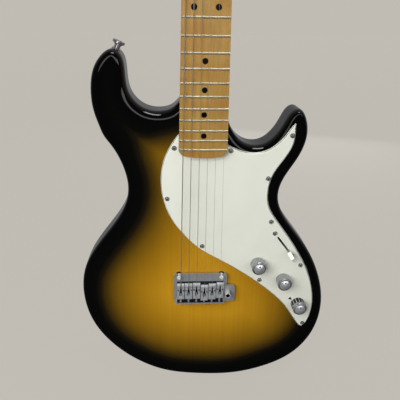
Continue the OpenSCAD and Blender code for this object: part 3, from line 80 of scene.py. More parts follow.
# Colours are written as the eye sees them, 0 to 255, and turned to linear light here
def tone(red, green, blue):
    c = np.array([red, green, blue]) / 255
    linear = np.where(c <= 0.04045, c / 12.92, ((c + 0.055) / 1.055) ** 2.4)
    return (*linear.tolist(), 1.0)


def scaled(colour, factor):
    return tuple(min(255, c * factor) for c in colour)


# A material with its shader; plain numbers go straight onto the shader's sockets
def newFinish(name, colour, **sockets):
    finish = bpy.data.materials.new(name)
    finish.use_nodes = True
    shader = finish.node_tree.nodes["Principled BSDF"]
    shader.inputs["Base Color"].default_value = tone(*colour)
    for socket, value in sockets.items():
        shader.inputs[socket.replace("_", " ")].default_value = value
    return finish


# A node with its settings; each input takes either a plain value or the output of another node.
# An output knows its tree, so only the nodes that begin a chain are given the material
def addNode(tree, kind, inputs=(), **settings):
    node = tree.nodes.new("ShaderNode" + kind)
    for key, value in settings.items():
        setattr(node, key, value)
    for socket, value in inputs:
        if isinstance(value, bpy.types.NodeSocket):
            tree.links.new(value, node.inputs[socket])
        else:
            node.inputs[socket].default_value = value
    return node


# A value or colour goes to one of the shader's sockets
def paint(source, socket="Base Color"):
    tree = source.id_data
    tree.links.new(source, tree.nodes["Principled BSDF"].inputs[socket])


# A point in the object's own space, stretched evenly or for each axis and then moved
def objectPoint(finish, scale=1, shift=(0, 0, 0)):
    point = addNode(finish.node_tree, "TexCoord").outputs["Object"]
    inputs = [("Vector", point), ("Scale", np.full(3, scale, float)), ("Location", shift)]
    return addNode(finish.node_tree, "Mapping", inputs).outputs[0]


def partsOf(point):
    return addNode(point.id_data, "SeparateXYZ", [("Vector", point)]).outputs


def layerOf(finish, name):
    return addNode(finish.node_tree, "Attribute", attribute_name=name).outputs["Fac"]


def noiseOn(finish, scale, detail=3.0):
    inputs = [("Vector", objectPoint(finish, scale)), ("Scale", 1.0), ("Detail", detail), ("Roughness", 0.55)]
    return addNode(finish.node_tree, "TexNoise", inputs).outputs["Fac"]


# Arithmetic that begins with a node's output and goes on with numbers or other outputs
def mathOf(operation, *values):
    return addNode(values[0].id_data, "Math", enumerate(values), operation=operation).outputs[0]


# A value carried from one range to another and held at its ends
def spreadOf(source, low, high, toLow=0.0, toHigh=1.0, **settings):
    inputs = [("Value", source), ("From Min", low), ("From Max", high), ("To Min", toLow), ("To Max", toHigh)]
    return addNode(source.id_data, "MapRange", inputs, **settings).outputs[0]


# Colours along a value; a stop with one number is a plain share of white
def rampOf(source, stops):
    ramp = addNode(source.id_data, "ValToRGB", [("Fac", source)])
    elements = ramp.color_ramp.elements
    for _ in stops[2:]:
        elements.new(0.5)
    for element, (at, colour) in zip(elements, stops):
        element.position = at
    for element, (at, colour) in zip(elements, stops):
        element.color = tone(*colour) if len(colour) == 3 else (*colour * 3, 1)
    return ramp.outputs["Color"]


def multiply(first, second):
    inputs = [(0, 1.0), (6, first), (7, second)]
    return addNode(first.id_data, "Mix", inputs, data_type="RGBA", blend_type="MULTIPLY").outputs[2]


# A colour worn by a value, down to the least share of it
def worn(colour, source, least):
    return multiply(colour, rampOf(source, [(0.3, (least,)), (0.7, (1.0,))]))


# One colour that runs between two shares of itself along a value
def mottle(source, colour, less, more=1.0):
    paint(rampOf(source, [(0.3, scaled(colour, less)), (0.7, scaled(colour, more))]))


def bumpOf(height, strength, distance=0.0001):
    inputs = [("Height", height), ("Strength", strength), ("Distance", distance)]
    paint(addNode(height.id_data, "Bump", inputs).outputs[0], "Normal")


def roughFrom(source, low, high):
    paint(spreadOf(source, 0, 1, low, high), "Roughness")


# Metal: fine brushed or polished grain that varies its tone and gloss
def metalFinish(name, colour, low, high, grain, bump=0.0, spread=0.12, metallic=1.0):
    finish = newFinish(name, colour, Metallic=metallic)
    streak = noiseOn(finish, grain)
    mottle(streak, colour, 1 - spread, 1 + spread)
    roughFrom(streak, low, high)
    if bump:
        bumpOf(streak, bump)
    return finish


# Plastic: slight clouding in the colour and a fine moulded texture
def plasticFinish(name, colour, low, high, spread=0.06, **sockets):
    finish = newFinish(name, colour, **sockets)
    mottle(noiseOn(finish, 60), colour, 1 - spread)
    roughFrom(noiseOn(finish, 300), low, high)
    bumpOf(noiseOn(finish, 900), 0.15)
    return finish


# Wood: long streaks up the grain, finer pores between them and a broad warm figure across them
def woodFinish(name, dark, light, low, high, streak=(220, 220, 7)):
    finish = newFinish(name, light)
    long = rampOf(noiseOn(finish, streak, 4.0), [(0.28, dark), (0.72, light)])
    broad = noiseOn(finish, (22, 22, 38), 2.0)
    figure = rampOf(broad, [(0.36, (246, 231, 208)), (0.6, (255, 255, 255))])
    pores = noiseOn(finish, (1500, 1500, 60), 2.0)
    pitted = rampOf(pores, [(0.35, (0.86,)), (0.6, (1.0,))])
    paint(multiply(multiply(long, figure), pitted))
    roughFrom(pores, low, high)
    bumpOf(pores, 0.08)
    return finish


nickel = metalFinish("nickel", (204, 204, 204), 0.14, 0.22, 220, spread=0.03, metallic=0.9)
postMetal = metalFinish("postMetal", (236, 237, 237), 0.2, 0.3, 60, spread=0.04, metallic=0.4)
satinMetal = metalFinish("satinMetal", (204, 207, 210), 0.34, 0.46, (900, 120, 120), 0.05, metallic=0.6)
# Near-black steel for the post anchors: partly their own finish, partly painted shadow in the plate's notches
# round the posts
darkSteelAndShadow = metalFinish("darkSteelAndShadow", (26, 26, 28), 0.4, 0.55, 300, metallic=0.7)
steel = metalFinish("steel", (160, 160, 158), 0.26, 0.4, (500, 500, 60), 0.05, metallic=0.85)
fretMetal = metalFinish("fretMetal", (196, 188, 164), 0.2, 0.3, (60, 400, 400), metallic=0.7)
brass = metalFinish("brass", (184, 150, 84), 0.22, 0.36, 300)
maple = woodFinish("maple", (168, 126, 68), (192, 150, 86), 0.28, 0.4)
boardMaple = woodFinish("boardMaple", (158, 120, 54), (178, 140, 68), 0.32, 0.44, (260, 260, 9))
bone = plasticFinish("bone", (226, 218, 192), 0.3, 0.42)
blackInlay = plasticFinish("blackInlay", (6, 5, 5), 0.3, 0.4, Specular_IOR_Level=0.15)
blackPlastic = plasticFinish("blackPlastic", (14, 14, 15), 0.28, 0.4)
whitePlastic = plasticFinish("whitePlastic", (243, 243, 237), 0.2, 0.3, 0.03)
cellCan = plasticFinish("cellCan", (60, 62, 66), 0.3, 0.4)
boardGreen = plasticFinish("boardGreen", (38, 84, 52), 0.35, 0.5)
wireSleeve = plasticFinish("wireSleeve", (40, 40, 42), 0.4, 0.55)
print("plain finishes made")


def anglesOf(count):
    return np.arange(count) * 2 * np.pi / count


def unit(vectors):
    return vectors / np.linalg.norm(vectors, axis=-1, keepdims=True)


# Points of the face's plane, across and up, set at a depth
def atDepth(flat, depth):
    return np.stack([flat[..., 0], np.broadcast_to(depth, flat.shape[:-1]), flat[..., 1]], -1)


# Quads between neighbouring rows of a grid; the last column joins the first
def gridFaces(rows, columns, start=0):
    r, c = np.meshgrid(np.arange(rows - 1), np.arange(columns), indexing="ij")
    a = start + r * columns + c
    b = start + r * columns + (c + 1) % columns
    return np.stack([a, b, b + columns, a + columns], -1).reshape(-1, 4)


def smoothShade(mesh):
    mesh.polygons.foreach_set("use_smooth", np.ones(len(mesh.polygons), bool))


# A mesh from points in mm: doubles are merged, faces turned outwards; layer holds a number for each point
def addPiece(name, points, faces, finish=None, layer=None):
    mesh = bpy.data.meshes.new(name)
    mesh.from_pydata(place(points).tolist(), [], [f.tolist() for f in faces])
    if layer is not None:
        shade = mesh.attributes.new("shade", "FLOAT", "POINT")
        shade.data.foreach_set("value", np.asarray(layer, np.float32).ravel())
    work = bmesh.new()
    work.from_mesh(mesh)
    bmesh.ops.remove_doubles(work, verts=work.verts, dist=1e-7)
    bmesh.ops.dissolve_degenerate(work, edges=work.edges, dist=1e-8)
    bmesh.ops.recalc_face_normals(work, faces=work.faces)
    work.to_mesh(mesh)
    work.free()
    smoothShade(mesh)
    piece = bpy.data.objects.new(name, mesh)
    scene.collection.objects.link(piece)
    if finish:
        mesh.materials.append(finish)
    return piece


# The body a piece rides on; some stand for a solid, which is hidden, and keep sharp edges
def settle(piece, body, node=None, angle=0):
    if angle:
        crispEdges(piece, angle)
    if node:
        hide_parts(node)
    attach(piece, body)


# A piece that stands for a bending solid: the solid is hidden and the piece's place is baked into its mesh
def bendWith(piece, node):
    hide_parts(node)
    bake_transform(piece)


def refinish(piece, finish):
    piece.data.materials.clear()
    piece.data.materials.append(finish)


# Sharp edges stay sharp and flats stay flat; bevel rounds the edges by that many metres
def crispEdges(piece, angle, bevel=0.0):
    if bevel:
        soft = piece.modifiers.new("soften", "BEVEL")
        soft.width, soft.segments, soft.limit_method = bevel, 2, "ANGLE"
        soft.angle_limit = np.radians(40)
    split = piece.modifiers.new("crisp", "EDGE_SPLIT")
    split.split_angle = np.radians(angle)
    piece.modifiers.new("flats", "WEIGHTED_NORMAL")


# A carried-over solid keeps its mesh: modifiers weld its loose triangles, join those that lie in one
# plane where its edges are rounded, and shade it
def dress(node, finish, angle, bevel):
    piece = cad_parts[node]
    refinish(piece, finish)
    smoothShade(piece.data)
    weld = piece.modifiers.new("weld", "WELD")
    weld.merge_threshold = 2e-6
    if bevel:
        flat = piece.modifiers.new("flat", "DECIMATE")
        flat.decimate_type, flat.angle_limit = "DISSOLVE", np.radians(0.5)
    crispEdges(piece, angle, bevel)


# Closed curve in which every point is a weighted mean of four guide points that slide along it
def guideCurve(guide, perSpan):
    g = np.array(guide, float)
    t = np.arange(perSpan) / perSpan
    weights = np.stack([(1 - t) ** 3, 3 * t**3 - 6 * t**2 + 4, 1 + 3 * t + 3 * t**2 - 3 * t**3, t**3], 1) / 6
    slopes = np.stack([-((1 - t) ** 2), 3 * t**2 - 4 * t, 1 + 2 * t - 3 * t**2, t**2], 1) / 2
    bends = np.stack([1 - t, 3 * t - 2, 1 - 3 * t, t], 1)
    four = np.stack([np.roll(g, 1, 0), g, np.roll(g, -1, 0), np.roll(g, -2, 0)], 1)
    at, d, a = (np.einsum("sk,nkd->nsd", w, four).reshape(-1, 2) for w in (weights, slopes, bends))
    speed = np.linalg.norm(d, axis=1)
    outward = np.stack([d[:, 1], -d[:, 0]], 1) / speed[:, None]
    turn = (d[:, 0] * a[:, 1] - d[:, 1] * a[:, 0]) / speed**3
    return at, outward, turn


# Even-odd test: how many edges of the loop a ray to the right of each point crosses
def insideLoop(points, loop):
    a, b = loop, np.roll(loop, -1, 0)
    px, pz = points[:, :1], points[:, 1:]
    spans = (a[:, 1] > pz) != (b[:, 1] > pz)
    rise = np.where(b[:, 1] == a[:, 1], 1e-12, b[:, 1] - a[:, 1])
    crossX = a[:, 0] + (pz - a[:, 1]) / rise * (b[:, 0] - a[:, 0])
    return (spans & (px < crossX)).sum(1) % 2 == 1


def distanceTo(points, loop):
    parts = [np.sqrt(((p[:, None] - loop[None]) ** 2).sum(2)).min(1)
             for p in np.array_split(points, max(1, len(points) // 2000))]
    return np.concatenate(parts)


# Triangles inside a loop, with an even grid of points between; the loop's own points come first
def fillLoop(loop, spacing):
    low, high = loop.min(0), loop.max(0)
    gx, gz = np.meshgrid(np.arange(low[0], high[0], spacing), np.arange(low[1], high[1], spacing))
    grid = np.stack([gx.ravel(), gz.ravel()], 1)
    grid = grid[insideLoop(grid, loop)]
    grid = grid[distanceTo(grid, loop) > 0.55 * spacing]
    every = np.concatenate([loop, grid])
    n = len(loop)
    edges = np.stack([np.arange(n), (np.arange(n) + 1) % n], 1)
    found = delaunay_2d_cdt(every.tolist(), edges.tolist(), [], 0, 1e-7, False)
    triangles = np.array(found[2])
    return every, triangles[insideLoop(every[triangles].mean(1), loop)]


# Two equal loops joined by a wall, with both ends closed
def closedBar(name, points):
    n = len(points) // 2
    return addPiece(name, points, [*gridFaces(2, n), np.arange(n), np.arange(n)[::-1] + n])


# A flat outline carried straight back from one depth to another
def prism(name, loop, front, back):
    twice = np.tile(np.asarray(loop, float), (2, 1))
    return closedBar(name, atDepth(twice, np.repeat([front, back], len(loop))))


def rectangle(x0, x1, z0, z1):
    return [[x0, z0], [x1, z0], [x1, z1], [x0, z1]]


def disc(at, radius, count=48):
    a = anglesOf(count)
    return np.stack([radius * np.cos(a), radius * np.sin(a)], 1) + at


# Cutters are taken out of a piece one after another, and the result becomes its mesh.
# Slivers along the cuts are merged, and a face that a sliver left open is closed again
def cutAway(piece, cutters, sliver=2e-5):
    for cutter in cutters:
        cut = piece.modifiers.new("cut", "BOOLEAN")
        cut.operation, cut.solver, cut.object = "DIFFERENCE", "EXACT", cutter
    done = bpy.data.meshes.new_from_object(piece.evaluated_get(bpy.context.evaluated_depsgraph_get()))
    done.name = piece.name
    work = bmesh.new()
    work.from_mesh(done)
    bmesh.ops.remove_doubles(work, verts=work.verts, dist=sliver)
    bmesh.ops.holes_fill(work, edges=[e for e in work.edges if e.is_boundary], sides=8)
    bmesh.ops.recalc_face_normals(work, faces=work.faces)
    work.to_mesh(done)
    work.free()
    piece.modifiers.clear()
    piece.data = done
    for cutter in cutters:
        bpy.data.objects.remove(cutter)
    smoothShade(done)


def pointsOf(piece):
    points = np.zeros(len(piece.data.vertices) * 3)
    piece.data.vertices.foreach_get("co", points)
    return points.reshape(-1, 3) * 1000 - [0, 0, saddleLine]


# Smooth rise from 0 at low to 1 at high; high may be the lesser
def step(low, high, value):
    t = np.clip((value - low) / (high - low), 0, 1)
    return t * t * (3 - 2 * t)


# Solid body: the outline is carried round a quarter-round edge at the face and the back.
# Each ring moves the outline inwards by the edge's width times one less the sine of the ring's angle, and
# back by the edge's depth times one less the cosine. The width shrinks at tight bends.
# The burst's black reaches in from the rim by plainBurst, and by more at the horn, the tail and the lower
# right: each row has how much more, and the ranges across and up over which it comes in
bodyShape = dict(
    guide=[[-102, 294], [-116, 283], [-127, 265], [-129, 229], [-121, 206], [-117, 192], [-103, 177],
           [-87, 133], [-97, 96], [-130, 56], [-158, 14], [-160, -41], [-145, -88], [-108, -133],
           [-56, -166], [-2, -173], [52, -175], [100, -162], [142, -140], [170, -99], [177, -50],
           [167, -4], [146, 40], [116, 76], [95, 107], [98, 138], [119, 167], [128, 196], [122, 220],
           [113, 230], [101, 223], [94, 203], [76, 182], [52, 183], [37, 196], [29, 213], [23, 233],
           [0, 238], [-22, 243], [-31, 231], [-41, 223], [-68, 223], [-87, 242], [-88, 265], [-89, 285]],
    thick=44, edge=10, land=0.7, perSpan=16, turns=10, grid=5.5,
    controls=[[56, 40], [60, 58], [78, 70], [90, 79], [97, 80], [110, 63.5], [123, 43], [128, 35],
              [129, 22], [134, 13], [141, 0], [147, -18], [150, -36], [149, -54], [143, -63], [136, -62],
              [120, -40], [104, -20], [88, -1], [76, 9], [60, 20]],
    controlDepth=37, blockSlot=(-33.5, 33.5, -33, -1.5), springWell=(-36, 36, -33, 96),
    springDepth=22, past=1, clear=20,
    jackAt=17.75, jackSeat=(-11.05, 11.05, -22.05, 22.05), jackFloor=-3.2, jackRadius=10,
    jackBore=-40, strapAt=(44.66, 15.35), strapSeat=5.35, strapFloor=-1.2,
    plainBurst=4.2, moreBurst=[(8, (-40, -75), (165, 205)), (4, (-400, -300), (-80, -135)),
                               (6, (10, 100), (-20, -100))],
    skin=0.5, hollowFrom=13,
)


# A place on the rim from its number along the guide, with the directions out of the body and along the rim
def rimAt(u):
    at, outward, _ = guideCurve(bodyShape["guide"], 100)
    k = int(round(u * 100)) % len(at)
    x, z = outward[k]
    return at[k], outward[k], np.array([-z, x])


# A box or bar that stands on the rim: x points out of the body, z along the rim, y is depth
def onRim(name, u, loop, inner, outer):
    at, out, along = rimAt(u)
    depth, side = np.tile(np.asarray(loop, float), (2, 1)).T
    reach = np.repeat([inner, outer], len(loop))[:, None]
    return closedBar(name, atDepth(at + reach * out + side[:, None] * along, bodyShape["thick"] / 2 + depth))


# Width of an edge: at most three quarters of the bend's radius, the least nearby, then a running mean
def edgeWidth(turn, widest, reach):
    shifts = np.arange(-reach, reach + 1)
    free = np.minimum(widest, 0.75 / np.maximum(turn, 0.001))
    tight = np.stack([np.roll(free, s) for s in shifts]).min(0)
    return np.stack([np.roll(tight, s) for s in shifts]).mean(0)


# A slab whose edge is the outline moved inwards by an inset for each ring and point, at each ring's depth.
# The face is filled with an even grid of points; the back is filled too, or else one flat face
def edgedSlab(name, at, outward, inset, depth, spacing, fillBack):
    flat = at - outward * inset[..., None]
    rings = atDepth(flat, depth[:, None]).reshape(-1, 3)
    n, base, last = len(at), len(rings), len(rings) - len(at)
    every, triangles = fillLoop(flat[0], spacing)
    front = atDepth(every[n:], depth[0])
    points = [rings, front]
    faces = [*gridFaces(len(depth), n), *np.where(triangles < n, triangles, triangles - n + base)]
    if fillBack:
        points.append(front + [0, depth[-1] - depth[0], 0])
        faces += [*np.where(triangles < n, triangles + last, triangles - n + base + len(front))[:, ::-1]]
    else:
        faces.append(np.arange(n)[::-1] + last)
    return addPiece(name, np.concatenate(points), faces)


def makeBody(s):
    at, outward, turn = guideCurve(s["guide"], s["perSpan"])
    edge, thick, past = s["edge"], s["thick"], s["past"]
    a = np.linspace(0, np.pi / 2, s["turns"] + 1)
    share = np.concatenate([[1], 1 - np.sin(a), np.zeros(3), 1 - np.cos(a), [1]])
    depth = np.concatenate([[0], edge * (1 - np.cos(a)), np.linspace(edge, thick - edge, 5)[1:-1],
                            thick - edge + edge * np.sin(a), [thick]])
    inset = share[:, None] * edgeWidth(turn, edge, int(4 * s["perSpan"] / 3))
    inset[[0, -1]] += s["land"]
    piece = edgedSlab("bodyWood", at, outward, inset, depth, s["grid"], True)
    seat, hole = rectangle(*s["jackSeat"]), disc((0, 0), s["jackRadius"])
    strap = disc((0, 0), s["strapSeat"])
    cutAway(piece, [
        prism("cutControls", s["controls"], -past, s["controlDepth"]),
        prism("cutSlot", rectangle(*s["blockSlot"]), -past, thick - past),
        prism("cutWell", rectangle(*s["springWell"]), thick - s["springDepth"], thick + past),
        onRim("cutJackSeat", s["jackAt"], seat, s["jackFloor"], s["clear"]),
        onRim("cutJackHole", s["jackAt"], hole, s["jackBore"], past),
        *[onRim("cutStrap", u, strap, s["strapFloor"], s["clear"]) for u in s["strapAt"]],
    ])
    x, y, z = pointsOf(piece).T
    far = distanceTo(np.stack([x, z], 1), at)
    shift = s["plainBurst"]
    for more, across, up in s["moreBurst"]:
        shift = shift + more * step(*across, x) * step(*up, z)
    inner = (y > s["skin"]) & (y < thick - s["skin"]) & (far > s["hollowFrom"])
    layer = piece.data.attributes.new("burst", "FLOAT", "POINT")
    layer.data.foreach_set("value", np.where(inner, 0, far - shift).astype(np.float32))
    return piece


# Lacquer over wood: black at the rim, through brown to amber by the distance from the rim in mm
burstTones = [(0, (3, 3, 3)), (14, (6, 6, 5)), (21, (26, 20, 8)), (30, (70, 51, 10)), (42, (110, 80, 12)),
              (58, (142, 102, 16)), (82, (172, 124, 21)), (110, (197, 144, 29))]


def makeLacquer(tones):
    finish = newFinish("burstLacquer", (120, 86, 15), Roughness=0.06)
    widest = tones[-1][0]
    inward = spreadOf(layerOf(finish, "burst"), 0, widest)
    base = rampOf(inward, [(d / widest, c) for d, c in tones])
    base = worn(base, noiseOn(finish, (300, 300, 6), 5.0), 0.91)
    paint(worn(base, noiseOn(finish, (40, 40, 3), 2.0), 0.93))
    bumpOf(noiseOn(finish, 60, 2.0), 0.04, 0.0004)
    return finish


bodyWood = makeBody(bodyShape)
refinish(bodyWood, makeLacquer(burstTones))
settle(bodyWood, "guitar", "body", 40)
print("body made:", len(bodyWood.data.polygons), "faces")


# Pickguard: its outline stands straight, then slopes inwards as a bevel that shows the dark layer
guardShape = dict(
    guide=[[-18, 211], [-33, 194], [-50, 166], [-52, 123], [-38, 86], [-23, 68], [-4, 45], [36, 24],
           [77, -5], [112, -35], [128, -58], [140, -78], [147, -84], [156, -70], [160, -36], [147, 10],
           [129, 41], [106, 75], [84, 102], [81, 124], [84, 148], [101, 171], [110, 189], [108, 209],
           [109, 214], [102, 205], [95, 193], [78, 178], [57, 175], [35, 182], [12, 196], [-5, 210]],
    thick=2.3, bevel=1.5, perSpan=16, grid=7.0, neckGap=0.3, past=1, holeRadius=4.0,
    volumeAt=(75.8, 24.2), toneAt=(111.8, -1), selectorAt=(136.3, -40.8),
    switchAt=(108, 52.2), switchTurn=-37.7, slot=(2.6, 27.6),
    sheetTone=(226, 228, 215), backTone=(218, 220, 206), coreTone=(40, 40, 40),
)
guardTop = -guardShape["thick"]


# The switch's own axes on the face: across the slot and along it
def atSwitch(loop):
    turn = np.radians(guardShape["switchTurn"])
    across, along = np.array([np.cos(turn), -np.sin(turn)]), np.array([np.sin(turn), np.cos(turn)])
    loop = np.asarray(loop, float)
    return np.array(guardShape["switchAt"]) + loop[:, :1] * across + loop[:, 1:] * along


# Plan of the neck's end: straight sides that taper, rounded corners and a slightly bulged end
neckShape = dict(half=28.4, low=172, length=82, taper=0.0147, corner=9, bulge=1.5)


def neckEnd(grow, s):
    a = np.linspace(0, np.pi / 2, 10)
    half, low, radius = s["half"] + grow, s["low"] - grow, s["corner"] + grow
    flat = half - radius
    corner = np.stack([flat + radius * np.sin(a), low + radius - radius * np.cos(a)], 1)
    right = np.concatenate([corner, [[half - s["taper"] * s["length"], s["low"] + s["length"]]]])
    x = np.linspace(-flat, flat, 9)
    end = np.stack([x, low - s["bulge"] * (1 - (x / flat) ** 2)], 1)[1:-1]
    return np.concatenate([right, right[::-1] * [-1, 1], end])


def makeGuard(s):
    at, outward, turn = guideCurve(s["guide"], s["perSpan"])
    thick, bevel = s["thick"], s["bevel"]
    inset = np.array([1.2, 1, 0.5, 0, 0])[:, None] * edgeWidth(turn, bevel, 6)
    depth = np.array([-thick, -thick, -thick + bevel * 0.5, -thick + bevel, 0])
    piece = edgedSlab("guardSheet", at, outward, inset, depth, s["grid"], False)
    w, length = s["slot"]
    loops = [neckEnd(s["neckGap"], neckShape)]
    loops += [disc(s[key], s["holeRadius"]) for key in ("volumeAt", "toneAt", "selectorAt")]
    loops += [atSwitch(rectangle(-w / 2, w / 2, -length / 2, length / 2))]
    cutAway(piece, [prism("cutGuard", loop, -thick - s["past"], s["past"]) for loop in loops])
    return piece


# Layered sheet: white, a thin dark core and white again, told apart by depth
def makeSheetPlastic(s):
    sheet, core = s["sheetTone"], s["coreTone"]
    finish = newFinish("guardPlastic", sheet)
    depth = spreadOf(partsOf(objectPoint(finish))["Y"], guardTop / 1000, 0)
    ply = rampOf(depth, [(0.0, sheet), (0.24, sheet), (0.26, core), (0.46, core), (0.48, sheet),
                         (1.0, s["backTone"])])
    paint(worn(ply, noiseOn(finish, 25), 0.955))
    roughFrom(noiseOn(finish, 200), 0.16, 0.26)
    bumpOf(noiseOn(finish, 900), 0.05)
    return finish


guardSheet = makeGuard(guardShape)
refinish(guardSheet, makeSheetPlastic(guardShape))
settle(guardSheet, "guitar", "pickguard", 25)
print("pickguard made")


# Strings: a round section carried from the ball end up over the saddle, along to the nut and round the post
stringSet = dict(
    diameters=[1.17, 0.91, 0.66, 0.43, 0.33, 0.25], wound=3, sides=10,
    scale=648, saddleSpread=52.3, nutSpread=34.8, saddleRise=14, boardRadius=305,
    boardTop=-9.5, nutAction=1.5, nutThick=4, compensation=[-2.8, -2.1, -1.3, -4.3, -2.8, -1.3],
    crest=2.2, gap=0.12, blockMid=-13, ballFloor=18.8, ballLength=3.4, ballRadius=1.9,
    plateTop=-5.7, headFace=1.5, wrapHeight=8, turns=1.5, restGap=0.3, postRadius=3.0,
    tunerFirst=38, tunerStep=25, tunerX=-20.9, tunerDx=6.76, treeFrom=4, treeZ=75,
    treeHeight=6.5, wrapTone=(166, 156, 136), wireTone=(172, 166, 150), ridges=1100,
    bendFrom=(0, -14, 22), bendTo=(0, -14, 3),
)


# How far the round of the fretboard falls away at a distance from its middle
def boardDrop(x):
    return stringSet["boardRadius"] - np.sqrt(stringSet["boardRadius"] ** 2 - x**2)


def stringPath(i, s):
    share = i / 5 - 0.5
    x, nx = s["saddleSpread"] * share, s["nutSpread"] * share
    y, ny = boardDrop(x) - s["saddleRise"], s["boardTop"] - s["nutAction"] + boardDrop(nx)
    d, floor, mid = s["diameters"][i], s["ballFloor"], s["blockMid"]
    ride = s["crest"] + d / 2 + s["gap"]
    a = np.radians(np.linspace(45, 0, 7))
    over = np.stack([np.full(7, x), y + ride * (1 - np.cos(a)), s["compensation"][i] - ride * np.sin(a)], 1)
    start = [[x, depth, mid] for depth in (floor + s["ballLength"], floor + 0.2, floor, s["plateTop"] - 1)]
    t = np.concatenate([np.linspace(0, 0.05, 17)[1:], np.linspace(0.05, 1, 12)[1:]])[:, None]
    run = over[-1] + t * (np.array([nx, ny, s["scale"]]) - over[-1])
    up = s["tunerFirst"] + s["tunerStep"] * i
    tx, tz = s["tunerX"] + s["tunerDx"] * i, s["scale"] + up
    r = s["postRadius"] + s["restGap"] + d / 2
    rest = [[nx, ny, s["scale"] + s["nutThick"]]]
    if i >= s["treeFrom"]:
        share = (s["treeZ"] - s["nutThick"]) / (up - s["nutThick"])
        rest.append([nx + (tx + r - nx) * share, s["headFace"] - s["treeHeight"], s["scale"] + s["treeZ"]])
    w = np.radians(np.arange(0, 360 * s["turns"] + 1, 12))
    depth = s["headFace"] - s["wrapHeight"] + (d + s["restGap"]) * w / (2 * np.pi)
    wrap = np.stack([tx + r * np.cos(w), depth, tz + r * np.sin(w)], 1)
    path = np.concatenate([start, over, run, rest, wrap])
    radii = np.full(len(path), d / 2)
    radii[:2] = s["ballRadius"]
    return path, radii, len(start) + len(over) + len(run) - 1


# Tube: at each point of the path, a ring in the plane across it, begun from the direction named first
def ringsAlong(path, ahead, first, radii, sides):
    first = unit(first)
    second = np.cross(ahead, first)
    a = anglesOf(sides)
    ring = first[:, None] * np.cos(a)[None, :, None] + second[:, None] * np.sin(a)[None, :, None]
    return path[:, None] + ring * np.broadcast_to(radii, len(path))[:, None, None]


# The first direction is taken from x up to the bend and from depth after it, so a string never twists
def stringGrid(i, s):
    path, radii, bend = stringPath(i, s)
    ahead = unit(np.gradient(path, axis=0))
    low = np.cross(ahead, [1.0, 0, 0])
    high = np.array([0, 1.0, 0]) - ahead * ahead[:, 1:2]
    first = np.where((np.arange(len(path)) < bend)[:, None], low, high)
    return ringsAlong(path, ahead, first, radii, s["sides"])


def tubesPiece(name, tubes, finish=None):
    points, faces, start = [], [], 0
    for grid in tubes:
        rows, sides = grid.shape[:2]
        points.append(grid.reshape(-1, 3))
        faces += [*gridFaces(rows, sides, start), start + np.arange(sides)[::-1],
                  start + (rows - 1) * sides + np.arange(sides)]
        start += rows * sides
    return addPiece(name, np.concatenate(points), faces, finish)


# Wound strings show the ridges of their wrap; the ridges repeat up the string
def makeWrapFinish(name, colour, ridges):
    finish = newFinish(name, colour, Metallic=0.6)
    streak = noiseOn(finish, (200, 200, 900))
    mottle(streak, colour, 0.92)
    roughFrom(streak, 0.3, 0.42)
    if ridges:
        inputs = [("Vector", objectPoint(finish)), ("Scale", ridges)]
        wave = addNode(finish.node_tree, "TexWave", inputs, bands_direction="Z")
        bumpOf(wave.outputs["Fac"], 0.25)
    return finish


def makeStrings(s):
    tubes = [stringGrid(i, s) for i in range(6)]
    wrap = makeWrapFinish("stringWrap", s["wrapTone"], s["ridges"])
    wire = makeWrapFinish("stringWire", s["wireTone"], 0)
    wound = tubesPiece("woundStrings", tubes[:s["wound"]], wrap)
    plain = tubesPiece("plainStrings", tubes[s["wound"]:], wire)
    for piece in (wound, plain):
        crispEdges(piece, 60)
        bendWith(piece, "strings")


makeStrings(stringSet)
print("strings made")


# Tremolo springs: a wire carried round a helix whose ends narrow and run straight into block and claw
springSet = dict(x=(-18, 0, 18), depth=30, front=-5.6, rear=73.6, lead=4, hook=2,
                 radius=3.55, least=0.05, narrow=0.02, wire=0.68, turns=46, perTurn=14,
                 sides=6, bendFrom=(0, 30, 68), bendTo=(0, 30, -4))


def springGrid(x, s):
    t = np.linspace(0, 1, s["turns"] * s["perTurn"] + 1)
    turn = 2 * np.pi * s["turns"] * t
    z = s["front"] + s["lead"] + (s["rear"] - s["front"] - 2 * s["lead"]) * t
    close = s["radius"] * step(0, s["narrow"], t) * step(1, 1 - s["narrow"], t) + s["least"]
    coil = np.stack([x + close * np.cos(turn), s["depth"] + close * np.sin(turn), z], 1)
    low = [[x, s["depth"], s["front"]], [x, s["depth"], s["front"] + s["hook"]]]
    high = [[x, s["depth"], s["rear"] - s["hook"]], [x, s["depth"], s["rear"]]]
    path = np.concatenate([low, coil, high])
    ahead = unit(np.gradient(path, axis=0))
    first = np.array([0, 0, 1.0]) - ahead * ahead[:, 2:]
    ends = np.linalg.norm(first, axis=1) < 0.3
    first[ends] = np.array([1.0, 0, 0]) - ahead[ends] * ahead[ends][:, :1]
    return ringsAlong(path, ahead, first, s["wire"], s["sides"])


springCoils = tubesPiece("springCoils", [springGrid(x, springSet) for x in springSet["x"]], steel)
bendWith(springCoils, "tremolo_springs")
print("springs made")


# Knobs: a profile turned about the shaft. The side is fluted by a small cosine; a groove sets the crown apart
knobShape = dict(radius=9.5, height=18, gap=0.7, flutes=72, depth=0.035, columns=288,
                 dialHeight=9.0, dialStep=0.85, bore=3.05, boreTop=14.05, hollow=3.4, skirt=6.4,
                 crownRadius=7.3, crownRise=2.6, crownRound=0.35, slope=1.5, spotAt=4.0,
                 spotRadius=1.2, spotSides=24, spotLift=0.04, spotSink=0.06,
                 grooveShadeTone=(40, 40, 42), sideFlutedShadeTone=(164, 166, 168), crownTone=(228, 230, 232))


# Crown of a knob: a shallow cone whose point is rounded off, by its share of the crown's radius
def crownHeight(share, s):
    c = s["crownRound"]
    return s["height"] - s["crownRise"] * (np.sqrt(share**2 + c**2) - c) / (np.sqrt(1 + c**2) - c)
